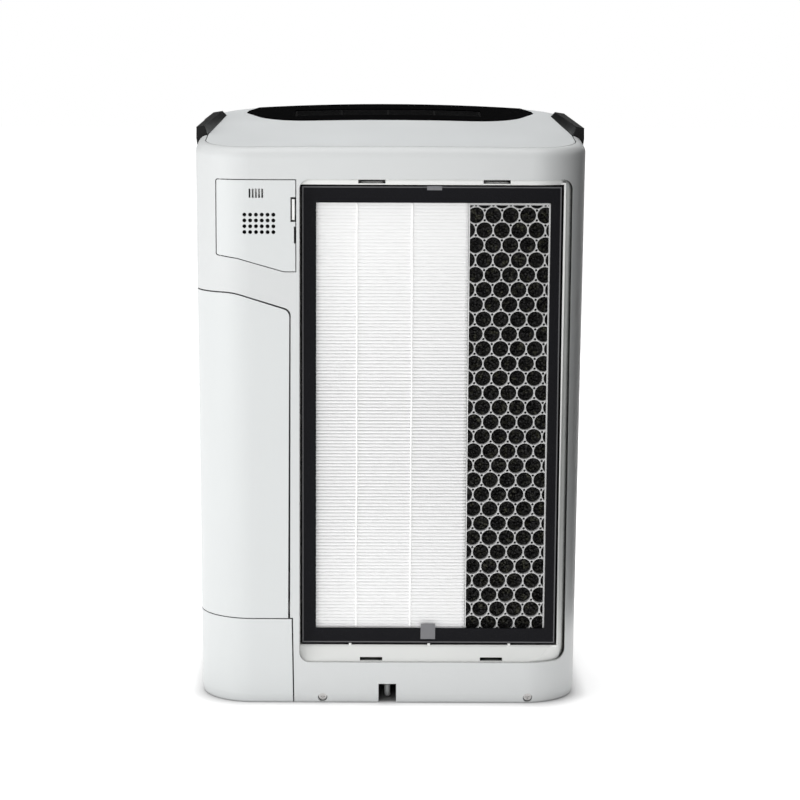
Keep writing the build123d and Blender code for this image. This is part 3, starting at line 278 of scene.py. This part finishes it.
def handle_material():
    """The grips: satin grey on the faces turned outward; painted shade makes the faces turned inward or
    upward near black.
    """
    material = surface("handle_grey", (0.070, 0.070, 0.071), 0.32, grain=0.0005, depth=0.12, tone=0.08,
                       patch=0.02, edge=0.0007)
    tree = material.node_tree
    new, link = tree.nodes.new, tree.links.new
    shader = tree.nodes["Principled BSDF"]
    grey = shader.inputs["Base Color"].links[0].from_socket
    # painted shade: where position X times normal X is small, the grey turns near black
    about = new("ShaderNodeNewGeometry")
    place = new("ShaderNodeSeparateXYZ")
    facing = new("ShaderNodeSeparateXYZ")
    link(about.outputs["Position"], place.inputs[0])
    link(about.outputs["Normal"], facing.inputs[0])
    outward = new("ShaderNodeMath")
    outward.operation = "MULTIPLY"
    link(place.outputs["X"], outward.inputs[0])
    link(facing.outputs["X"], outward.inputs[1])
    share = new("ShaderNodeMapRange")
    share.inputs["From Min"].default_value = 0.02
    share.inputs["From Max"].default_value = 0.05
    link(outward.outputs["Value"], share.inputs["Value"])
    tone = new("ShaderNodeMix")
    tone.data_type = "RGBA"
    tone.inputs["A"].default_value = (0.006, 0.006, 0.0065, 1)
    link(grey, tone.inputs["B"])
    link(share.outputs["Result"], tone.inputs["Factor"])
    link(tone.outputs["Result"], shader.inputs["Base Color"])
    shader.inputs["Specular IOR Level"].default_value = 0.2
    return material


def media_material():
    """Glass-fibre paper: white, matt, with faint fibres along the folds."""
    material, tree, shader = build_material("filter_paper")
    new, link = tree.nodes.new, tree.links.new
    place = new("ShaderNodeTexCoord")
    stretch = new("ShaderNodeMapping")
    stretch.inputs["Scale"].default_value = (300, 1500, 1500)
    link(place.outputs["Object"], stretch.inputs["Vector"])
    fibres = new("ShaderNodeTexNoise")
    fibres.inputs["Scale"].default_value = 1
    fibres.inputs["Detail"].default_value = 4
    link(stretch.outputs["Vector"], fibres.inputs["Vector"])
    tint = new("ShaderNodeMix")
    tint.data_type = "RGBA"
    tint.inputs["A"].default_value = (0.91, 0.91, 0.91, 1)
    tint.inputs["B"].default_value = (0.94, 0.94, 0.94, 1)
    link(fibres.outputs["Fac"], tint.inputs["Factor"])
    link(tint.outputs["Result"], shader.inputs["Base Color"])
    bump = new("ShaderNodeBump")
    bump.inputs["Strength"].default_value = 0.2
    bump.inputs["Distance"].default_value = 0.0002
    link(fibres.outputs["Fac"], bump.inputs["Height"])
    link(bump.outputs["Normal"], shader.inputs["Normal"])
    shader.inputs["Roughness"].default_value = 0.9
    shader.inputs["Emission Color"].default_value = (1, 1, 1, 1)
    shader.inputs["Emission Strength"].default_value = 0.05  # painted light: a faint even glow, standing in for light through the thin paper
    shader.inputs["Specular IOR Level"].default_value = 0.2
    return material


def carbon_material():
    """Crushed carbon: near black, with painted glints from grain to grain: some grains get a brownish
    olive colour.
    """
    material, tree, shader = build_material("carbon_granules")
    new, link = tree.nodes.new, tree.links.new
    place = new("ShaderNodeTexCoord")
    grains = new("ShaderNodeTexVoronoi")
    grains.inputs["Scale"].default_value = 260
    link(place.outputs["Object"], grains.inputs["Vector"])
    ramp = new("ShaderNodeValToRGB")
    ramp.color_ramp.elements[0].color = (0.0016, 0.0016, 0.002, 1)
    ramp.color_ramp.elements[1].color = (0.045, 0.045, 0.028, 1)
    middle = ramp.color_ramp.elements.new(0.6)
    middle.color = (0.005, 0.0045, 0.005, 1)
    link(grains.outputs["Color"], ramp.inputs["Fac"])
    link(ramp.outputs["Color"], shader.inputs["Base Color"])
    pores = new("ShaderNodeTexNoise")
    pores.inputs["Scale"].default_value = 1500
    link(place.outputs["Object"], pores.inputs["Vector"])
    bump = new("ShaderNodeBump")
    bump.inputs["Strength"].default_value = 0.5
    bump.inputs["Distance"].default_value = 0.0004
    link(pores.outputs["Fac"], bump.inputs["Height"])
    link(bump.outputs["Normal"], shader.inputs["Normal"])
    shader.inputs["Roughness"].default_value = 0.42
    shader.inputs["Specular IOR Level"].default_value = 0.3
    return material


def tank_material():
    """Clear bluish plastic of the water tank."""
    material, tree, shader = build_material("tank_clear")
    new, link = tree.nodes.new, tree.links.new
    place = new("ShaderNodeTexCoord")
    haze = new("ShaderNodeTexNoise")
    haze.inputs["Scale"].default_value = 30
    link(place.outputs["Object"], haze.inputs["Vector"])
    gloss = new("ShaderNodeMapRange")
    gloss.inputs["To Min"].default_value = 0.08
    gloss.inputs["To Max"].default_value = 0.25
    link(haze.outputs["Fac"], gloss.inputs["Value"])
    link(gloss.outputs["Result"], shader.inputs["Roughness"])
    shader.inputs["Base Color"].default_value = (0.80, 0.88, 0.94, 1)
    shader.inputs["Transmission Weight"].default_value = 0.8
    shader.inputs["IOR"].default_value = 1.49
    return material


# ---------------------------------------------------------------- power cord
CORD_DIAMETER = 0.0062
GLAND_AT, GLAND_END, GLAND_TOP = (-0.001, -0.117), 0.0148, 0.0355
COIL_AT, COIL_RADIUS = (-0.002, 0.200), 0.037
TURN_PITCH = 0.0064
LAYERS = (0.0033, 0.0097)
CORD_RUN = [
    (-1, -117, 14.8),
    (-1, -117, 8.2),
    (-0.7, -112.1, 3.8),
    (0, -105, 3.3),
    (1, -94, 3.3),
    (-1.6, -74, 3.3),
    (0.8, -36, 3.3),
    (-2.2, 14, 3.3),
    (0.4, 64, 3.3),
    (-1.6, 106, 3.3),
    (-0.4, 134, 3.3),
    (5.5, 150.5, 3.3),
]
CORD_TAIL = [
    (-35, 234, 8.4),
    (-51, 224, 5.4),
    (-66, 211, 3.8),
    (-80, 201.5, 6.2),
    (-96, 199, 9.2),
]


def coil_points():
    """The turns of the coil: three side by side on the floor, then three back out on top of them."""
    start, jog, steps = radians(-63.4), radians(50), 16
    end = start + 3 * tau + 2 * tau + radians(173.4)
    turn_radii = [COIL_RADIUS + TURN_PITCH, COIL_RADIUS, COIL_RADIUS - TURN_PITCH]
    turn_radii += turn_radii[::-1]
    points = []
    count = int((end - start) / (tau / steps))
    for i in range(count + 1):
        angle = start + i * (end - start) / count
        turn = min(int((angle - start) / tau), 5)
        into = (angle - start) - turn * tau
        share = max(0.0, (into - (tau - jog)) / jog)
        after = min(turn + 1, 5)
        radius = turn_radii[turn] + (turn_radii[after] - turn_radii[turn]) * share
        height = LAYERS[turn > 2] + (LAYERS[after > 2] - LAYERS[turn > 2]) * share
        points.append((COIL_AT[0] + radius * cos(angle), COIL_AT[1] + radius * sin(angle), height))
    return points


def make_cord(materials):
    """The power cord as one spline: under the case, round the coil, and on to its plug."""
    route = [(x * MM, y * MM, z * MM) for x, y, z in CORD_RUN]
    route += coil_points()
    route += [(x * MM, y * MM, z * MM) for x, y, z in CORD_TAIL]
    curve = bpy.data.curves.new("power_cord", "CURVE")
    curve.dimensions = "3D"
    curve.bevel_depth = CORD_DIAMETER / 2
    curve.bevel_resolution = 6
    curve.resolution_u = 8
    curve.use_fill_caps = True
    spline = curve.splines.new("NURBS")
    spline.points.add(len(route) - 1)
    for point, place in zip(spline.points, route):
        point.co = (*place, 1)
    spline.order_u = 3
    spline.use_endpoint_u = True
    cord = bpy.data.objects.new("power_cord", curve)
    scene.collection.objects.link(cord)
    dress(cord, materials["cord"], "housing")
    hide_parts("cord_run", "cord_coil", "cord_tail")
    return cord


def make_gland(materials):
    """The strain relief: a tapered sleeve with ribs, pressed into the base."""
    profile = [(0.0, GLAND_TOP), (0.0046, GLAND_TOP), (0.0050, GLAND_TOP - 0.0006)]
    ribs = 6
    for i in range(ribs):
        share = i / ribs
        radius = 0.0050 - 0.0010 * share
        z = GLAND_TOP - 0.004 - (GLAND_TOP - GLAND_END - 0.005) * share
        for out, drop in ((0, 0), (0, 0.0014), (-0.0010, 0.0018), (-0.0010, 0.0024), (0, 0.0028)):
            profile.append((radius + out, z - drop))
    profile += [(0.0038, GLAND_END + 0.0006), (0.0035, GLAND_END), (0.0, GLAND_END)]
    gland = lathe("strain_relief", profile, GLAND_AT)
    dress(gland, materials["cord"], "housing")
    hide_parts("cord_gland")
    return gland


def make_tie(materials):
    """A flat tie round the coil's bundle."""
    low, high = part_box("cord_tie")
    angle = radians(200)
    radial = Vector((cos(angle), sin(angle), 0))
    along = Vector((-sin(angle), cos(angle), 0))
    up = Vector((0, 0, 1))
    centre = Vector((COIL_AT[0], COIL_AT[1], (low.z + high.z) / 2)) + radial * COIL_RADIUS
    wide, high_mm = 0.0206, high.z - low.z
    rings = []
    half, thick = 0.0044, 0.0007
    for side, push in ((-half, 0.0003), (-half + 0.0006, 0), (half - 0.0006, 0), (half, 0.0003)):
        rings.append(superellipse(centre + along * side, radial, up, wide - 2 * push,
                                  high_mm - 2 * push, 5, 56))
    for side, push in ((half, 0.0003), (half - 0.0006, 0), (-half + 0.0006, 0), (-half, 0.0003)):
        inner = 2 * thick + 0.0002 - 2 * push
        rings.append(superellipse(centre + along * side, radial, up, wide - inner,
                                  high_mm - inner, 5, 56))
    tie = bridge_rings("coil_tie", rings, closed=True)
    dress(tie, materials["tie"], "housing")
    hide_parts("cord_tie")
    return tie


def make_plug(materials):
    """The moulded plug: a rounded grip with ribs, narrowing into a collar for the cord."""
    low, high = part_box("plug_body")
    centre_y, centre_z = 0.199, 0.0092
    back, front = high.x, low.x
    length = back - front
    stations = [
        (0.00, 0.66, 0.62), (0.015, 0.90, 0.90), (0.06, 0.97, 0.97), (0.30, 1.0, 1.0), (0.42, 0.96, 0.95),
        (0.45, 0.88, 0.86), (0.48, 0.94, 0.93), (0.52, 0.86, 0.84), (0.55, 0.90, 0.89),
        (0.59, 0.80, 0.79), (0.62, 0.84, 0.83), (0.70, 0.66, 0.70), (0.80, 0.48, 0.60),
        (0.90, 0.38, 0.52), (0.985, 0.34, 0.47), (1.0, 0.30, 0.42),
    ]
    rings = []
    for share, wide, tall in stations:
        x = front + share * length
        rings.append(superellipse((x, centre_y, centre_z), (0, 1, 0), (0, 0, 1),
                                  wide * (high.y - low.y), tall * (high.z - low.z),
                                  3.4 - 1.4 * share, 48))
    plug = bridge_rings("plug_grip", rings)
    dress(plug, materials["cord"], "housing")
    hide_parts("plug_body")
    return plug


# ---------------------------------------------------------------- filter
PLEAT_PITCH = 0.0033
FOLD_DEPTH, FOLD_END = 0.016, 0.0004  # depth between open folds, and where folds are shut
BEAD_X = (-0.0323, 0.0212)
WINDOW_X, WINDOW_Z = (-0.072, 0.1543), (0.073, 0.4944)
COMB_WIDTH = 0.0778  # how much of the window the comb takes, from the right


def make_media(materials):
    """The pleated paper: round ridges side by side, a little uneven, closing up towards the top."""
    low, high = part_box("hepa_media")
    face = low.y
    count = int((high.z - low.z) / PLEAT_PITCH)
    columns = 44
    left, right = low.x + 0.0002, high.x - 0.0002
    profile = []
    for i in range(count):
        middle = low.z + (i + 0.5) * PLEAT_PITCH
        share = (middle - low.z) / (high.z - low.z)
        # the folds are shut near the top, widest about the middle and closer again at the foot
        openness = min(1.0, max(0.0, (0.94 - share) / 0.42), 0.28 + share * 2.2)
        gap = PLEAT_PITCH * (0.02 + 0.28 * openness)
        half = (PLEAT_PITCH - gap) / 2
        crown = half * (0.12 + 0.78 * openness)
        profile.append((middle - PLEAT_PITCH / 2, FOLD_END + FOLD_DEPTH * openness ** 2, i, 0.0))
        for k in range(6):
            a = pi * k / 5
            profile.append((middle - half * cos(a), crown * (1 - sin(a)), i, openness))
    profile.append((low.z + count * PLEAT_PITCH, FOLD_END, count, 0.0))
    verts, faces = [], []
    for z, y, fold, loose in profile:
        for c in range(columns + 1):
            x = left + (right - left) * c / columns
            sway = noise.noise((x * 22, fold * 0.37, 1.7)) * 0.00009 * loose
            rise = noise.noise((x * 30, fold * 0.9, 8.1)) * 0.00010 * loose
            verts.append((x, face + 0.00045 + y + rise, z + sway))
    step = columns + 1
    for r in range(len(profile) - 1):
        for c in range(columns):
            a = r * step + c
            faces.append((a, a + 1, a + step + 1, a + step))
    media = new_object("pleated_media", verts, faces)
    thick = media.modifiers.new("paper", "SOLIDIFY")
    thick.thickness = 0.00018
    thick.offset = -1
    dress(media, materials["media"], "filter_cartridge")
    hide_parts("hepa_media")


def make_beads(materials):
    """Threads of glue across the ridges, thicker where they cross each one."""
    low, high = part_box("glue_beads")
    for index, x in enumerate(BEAD_X):
        rings = []
        steps = int((high.z - low.z) / PLEAT_PITCH) * 4
        for i in range(steps + 1):
            z = low.z + (high.z - low.z) * i / steps
            wave = cos(tau * (z - low.z) / PLEAT_PITCH)
            swell = 0.0008 + 0.0001 * wave + noise.noise((z * 90, x * 100, 0)) * 0.00012
            wander = noise.noise((z * 14, x * 50, 3)) * 0.0004
            ring = superellipse((x + wander, low.y + 0.00055, z), (1, 0, 0), (0, 1, 0),
                                2 * swell, 0.0009, 2, 8)
            rings.append(ring)
        bead = bridge_rings(f"glue_thread_{index}", rings)
        dress(bead, materials["glue"], "filter_cartridge")
        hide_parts("glue_beads")


CELL_PITCH, CELL_ROW = 0.0168, 0.01446
CELL_FIRST = (0.0992, 0.4824)
CELL_HOLE = 0.0078  # radius of a cell's hole
DOT = 0.0013  # radius of the small hole where three cells meet


def cell_centres(low, high):
    """Centres of the comb's cells that reach into a rectangle."""
    centres = []
    for row in range(-30, 3):
        z = CELL_FIRST[1] + row * CELL_ROW
        start = CELL_FIRST[0] + (CELL_PITCH / 2 if row % 2 else 0)
        for k in range(-3, 6):
            x = start + k * CELL_PITCH
            if low[0] - 0.008 < x < high[0] + 0.008 and low[1] - 0.008 < z < high[1] + 0.008:
                centres.append((x, z))
    return centres


def comb_reach(angle):
    """Distance from a cell's centre to its six-sided border, or to the small hole at a corner of it."""
    corner = CELL_PITCH / sqrt(3)
    sector = (angle - radians(30)) % radians(60)
    off = min(sector, radians(60) - sector)
    if corner * sin(off) < DOT:
        return corner * cos(off) - sqrt(DOT ** 2 - (corner * sin(off)) ** 2), True
    return CELL_PITCH / 2 / cos(radians(30) - off), False


def make_comb(materials):
    """The honeycomb: round cells with soft rims, and a small hole wherever three cells meet."""
    low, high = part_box("carbon_honeycomb")
    face = low.y
    window = ((WINDOW_X[1] - COMB_WIDTH, WINDOW_Z[0]), (WINDOW_X[1], WINDOW_Z[1]))
    centres = cell_centres((low.x, low.z), (high.x, high.z))
    angles = []
    spread = radians(7.6)  # half the angle that a corner's hole takes, seen from the cell
    for k in range(6):
        middle = radians(30 + 60 * k)
        angles += [middle - spread, middle - spread / 2, middle, middle + spread / 2, middle + spread]
        angles += [middle + radians(60) * s for s in (0.2, 0.35, 0.5, 0.65, 0.8)]
    angles.sort()
    # outward and backward steps, from deep inside the hole over its rounded rim
    rims = ((0.0, 0.0075), (0.0, 0.0007), (0.0001, 0.00025), (0.0003, 0.00005), (0.0005, 0.0))
    verts, faces = [], []
    for cx, cz in centres:
        base = len(verts)
        count = len(angles)
        for out, back in rims:
            for a in angles:
                radius = CELL_HOLE + out
                verts.append((cx + radius * cos(a), face + back, cz + radius * sin(a)))
        reaches = [comb_reach(a) for a in angles]
        for back in (0.0002, 0.0030):
            for a, (reach, _) in zip(angles, reaches):
                verts.append((cx + reach * cos(a), face + back, cz + reach * sin(a)))
        rows = len(rims) + 1
        for r in range(rows - 1):
            for j in range(count):
                k = (j + 1) % count
                at = base + r * count
                faces.append((at + j, at + k, at + count + k, at + count + j))
        at = base + (rows - 1) * count
        for j in range(count):
            k = (j + 1) % count
            if reaches[j][1] and reaches[k][1]:
                faces.append((at + j, at + k, at + count + k, at + count + j))
    comb = new_object("honeycomb", verts, faces)
    mesh = bmesh.new()
    mesh.from_mesh(comb.data)
    bmesh.ops.remove_doubles(mesh, verts=mesh.verts, dist=2e-5)
    cuts = (((low.x, 0, 0), (-1, 0, 0)), ((high.x, 0, 0), (1, 0, 0)),
            ((0, 0, low.z), (0, 0, -1)), ((0, 0, high.z), (0, 0, 1)))
    for place, outward in cuts:
        everything = mesh.verts[:] + mesh.edges[:] + mesh.faces[:]
        bmesh.ops.bisect_plane(mesh, geom=everything, plane_co=place, plane_no=outward, clear_outer=True)
    loose = [v for v in mesh.verts if not v.link_faces]
    bmesh.ops.delete(mesh, geom=loose, context="VERTS")
    bmesh.ops.recalc_face_normals(mesh, faces=mesh.faces)
    mesh.to_mesh(comb.data)
    mesh.free()
    dress(comb, materials["comb"], "filter_cartridge")
    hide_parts("carbon_honeycomb")
    strip = (
        ("comb_edge_right", (window[1][0] - 0.0014, window[1][0] + 0.001), (window[0][1], window[1][1])),
        ("comb_edge_top", (window[0][0], window[1][0]), (window[1][1] - 0.0022, window[1][1] + 0.001)),
    )
    for name, xs, zs in strip:
        rings = []
        for back, inset in ((0.0, 0.0004), (0.0004, 0.0), (0.0016, 0.0)):
            ring = [(xs[0] + inset, face - 0.0002 + back, zs[0] + inset),
                    (xs[1] - inset, face - 0.0002 + back, zs[0] + inset),
                    (xs[1] - inset, face - 0.0002 + back, zs[1] - inset),
                    (xs[0] + inset, face - 0.0002 + back, zs[1] - inset)]
            rings.append(ring)
        edge = bridge_rings(name, rings, smooth=False)
        dress(edge, materials["comb"], "filter_cartridge")


GRAINS = (15, 12)  # grains in a cell's front layer and in the one behind it
GOLDEN_ANGLE = 2.39996


def make_granules(materials):
    """Crushed carbon behind the comb: angular grains, each its own size and turn."""
    low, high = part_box("carbon_granules")
    comb_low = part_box("carbon_honeycomb")[0]
    dice = random.Random(11)
    ball = bmesh.new()
    bmesh.ops.create_icosphere(ball, subdivisions=1, radius=1)
    corners = [v.co.copy() for v in ball.verts]
    sides = [[v.index for v in f.verts] for f in ball.faces]
    ball.free()
    verts, faces = [], []
    for cx, cz in cell_centres((low.x, low.z), (high.x, high.z)):
        for layer, count in enumerate(GRAINS):
            for i in range(count):
                radius = 0.0062 * sqrt((i + 0.5) / count)
                angle = i * GOLDEN_ANGLE + dice.uniform(-0.4, 0.4) + cx * 900
                size = dice.uniform(0.0013, 0.0024)
                x = cx + min(radius, CELL_HOLE - size * 0.8) * cos(angle)
                z = cz + min(radius, CELL_HOLE - size * 0.8) * sin(angle)
                if not (low.x + size < x < high.x - size and low.z + size < z < high.z - size):
                    continue
                y = comb_low.y + 0.0042 + 0.0022 * layer + dice.uniform(-0.0012, 0.0008)
                turn = Matrix.Rotation(dice.uniform(0, tau), 3, Vector((dice.random(), dice.random(), 1)))
                at = len(verts)
                squash = Vector((dice.uniform(0.7, 1.2), dice.uniform(0.6, 1.0), dice.uniform(0.7, 1.2)))
                for corner in corners:
                    point = turn @ Vector((corner.x * squash.x, corner.y * squash.y, corner.z * squash.z))
                    point *= size * dice.uniform(0.78, 1.1)
                    verts.append((x + point.x, y + point.y, z + point.z))
                faces += [[at + k for k in side] for side in sides]
    grains = new_object("carbon_grains", verts, faces, smooth=False)
    dress(grains, materials["carbon"], "filter_cartridge")


# ---------------------------------------------------------------- light and room
def add_area(name, place, aim, wide, high, power):
    """A soft rectangular light."""
    data = bpy.data.lights.new(name, "AREA")
    data.shape = "RECTANGLE"
    data.size, data.size_y = wide, high
    data.energy = power
    light = bpy.data.objects.new(name, data)
    light.location = place
    light.rotation_mode = "QUATERNION"
    light.rotation_quaternion = (Vector(aim) - Vector(place)).to_track_quat("-Z", "Y")
    scene.collection.objects.link(light)


FOOTPRINT = (0.142, 0.086, 0)  # centre of the footprint's corner rounding


def make_floor():
    """A wide pale floor that glows nearly white, with a painted shadow under and around the case's
    footprint.
    """
    size = 14
    verts = [(-size, -size, 0), (size, -size, 0), (size, size, 0), (-size, size, 0)]
    floor = new_object("floor", verts, [(0, 1, 2, 3)], smooth=False)
    material, tree, shader = build_material("floor_white")
    new, link = tree.nodes.new, tree.links.new
    place = new("ShaderNodeTexCoord")
    cloud = new("ShaderNodeTexNoise")
    cloud.inputs["Scale"].default_value = 3
    link(place.outputs["Object"], cloud.inputs["Vector"])
    tint = new("ShaderNodeMix")
    tint.data_type = "RGBA"
    tint.inputs["A"].default_value = (0.60, 0.60, 0.60, 1)
    tint.inputs["B"].default_value = (0.63, 0.63, 0.63, 1)
    link(cloud.outputs["Fac"], tint.inputs["Factor"])
    link(tint.outputs["Result"], shader.inputs["Base Color"])
    # distance from the case's rounded footprint: no glow under it, a painted shadow fading out around it,
    # full glow far from it
    socket = place.outputs["Object"]
    for operation, amount in (("ABSOLUTE", None), ("SUBTRACT", FOOTPRINT), ("MAXIMUM", (0, 0, 0)),
                              ("LENGTH", None)):
        step = new("ShaderNodeVectorMath")
        step.operation = operation
        link(socket, step.inputs[0])
        if amount:
            step.inputs[1].default_value = amount
        socket = step.outputs["Value" if operation == "LENGTH" else "Vector"]
    glow_with_painted_shadow = new("ShaderNodeValToRGB")
    ends = glow_with_painted_shadow.color_ramp.elements
    ends[0].position, ends[0].color = 0.036, (0, 0, 0, 1)
    ends[1].position, ends[1].color = 0.60, (1, 1, 1, 1)
    for at, light in ((0.046, 0.30), (0.060, 0.68), (0.12, 0.88)):
        ends.new(at).color = (light, light, light, 1)
    link(socket, glow_with_painted_shadow.inputs["Fac"])
    link(glow_with_painted_shadow.outputs["Color"], shader.inputs["Emission Color"])
    shader.inputs["Roughness"].default_value = 0.9
    shader.inputs["Specular IOR Level"].default_value = 0.1
    shader.inputs["Emission Strength"].default_value = 1
    floor.data.materials.append(material)


def make_world():
    """An even white room: dimmer as a light than as a backdrop."""
    world = bpy.data.worlds.new("room")
    world.use_nodes = True
    tree = world.node_tree
    back = tree.nodes["Background"]
    back.inputs["Color"].default_value = (1, 1, 1, 1)
    back.inputs["Strength"].default_value = 0.30
    seen = tree.nodes.new("ShaderNodeBackground")
    seen.inputs["Color"].default_value = (1, 1, 1, 1)
    seen.inputs["Strength"].default_value = 1.0
    rays = tree.nodes.new("ShaderNodeLightPath")
    mix = tree.nodes.new("ShaderNodeMixShader")
    tree.links.new(rays.outputs["Is Camera Ray"], mix.inputs[0])
    tree.links.new(back.outputs[0], mix.inputs[1])
    tree.links.new(seen.outputs[0], mix.inputs[2])
    tree.links.new(mix.outputs[0], tree.nodes["World Output"].inputs[0])
    scene.world = world


def make_lights():
    """A large soft light from the left, a weaker one above, and a faint one by the camera."""
    add_area("light_left", (-2.4, -1.5, 1.1), (0, 0, 0.3), 1.8, 2.2, 21)
    add_area("light_above", (-0.2, -0.2, 2.6), (0, 0, 0.4), 2.0, 2.0, 30)
    add_area("light_camera", (-0.6, -3.2, 1.2), (0, 0, 0.3), 1.6, 1.6, 6.5)
    add_area("light_room", (0.6, 2.6, 1.6), (0, 0, 0.3), 2.0, 1.6, 10)


CARD_THICKNESS = 0.01


def add_card(name, low, high, heights):
    """A dark upright card that shades the object and isn't seen itself."""
    along = Vector((high[0] - low[0], high[1] - low[1], 0)).normalized()
    side = Vector((-along.y, along.x, 0)) * CARD_THICKNESS
    a, b = Vector((low[0], low[1], 0)), Vector((high[0], high[1], 0))
    rings = []
    for z in heights:
        up = Vector((0, 0, z))
        rings.append([a + up, b + up, b + side + up, a + side + up])
    card = bridge_rings(name, rings, smooth=False)
    card.data.materials.append(surface("card_" + name, (0.015, 0.015, 0.015), 0.9))
    card.visible_camera = False


def make_cards():
    """One card by the rear right corner, and one behind for the glossy deck to mirror."""
    add_card("right", (0.26, -0.34), (0.25, -0.02), (0.06, 0.72))
    add_card("back", (-1.4, 2.0), (1.0, 2.0), (0.72, 1.7))


# ---------------------------------------------------------------- assembly
def paint_nodes(materials):
    """Materials of the CAD nodes that stay."""
    plan = {
        "body": ("main_housing", "front_panel"),
        "panel": ("sensor_door", "tank_panel", "tray_face"),
        "cap": ("top_cap",),
        "inner": ("filter_bay", "inlet_grille", "door_latch", "tank_bay", "tray_pan", "tank_cap",
                  "fan_scroll", "bell_mouth", "outlet_duct"),
        "deck": ("top_deck", "touch_panel"),
        "grille": ("outlet_grille",),
        "handle": ("handle_left", "handle_right"),
        "frame": ("filter_frame",),
        "case": ("filter_case",),
        "divider": ("media_divider",),
        "seal": ("frame_seal",),
        "tab": ("pull_tab_top", "pull_tab_bottom"),
        "carbon": ("carbon_granules",),
        "steel": ("base_screws", "door_hinge_pins", "motor_case", "motor_mount", "motor_shaft",
                  "impeller_nut", "odour_sensor"),
        "brass": ("plug_pins",),
        "black": ("sensor_box", "dust_sensor", "power_box", "impeller", "base_pan"),
        "board": ("control_board", "power_board"),
        "wick": ("wick_filter",),
        "rubber": ("feet",),
        "tank": tuple(n for n in ("tank_vessel", "tank_base") if n in nodes),
    }
    for name, names in plan.items():
        for node in names:
            paint(node, materials[name])


make_camera()
materials = make_materials()
cord = make_cord(materials)
gland = make_gland(materials)
tie = make_tie(materials)
plug = make_plug(materials)
paint_nodes(materials)
make_media(materials)
make_beads(materials)
make_comb(materials)
make_granules(materials)
make_world()
make_floor()
make_lights()
make_cards()
scene.view_settings.view_transform = "Standard"
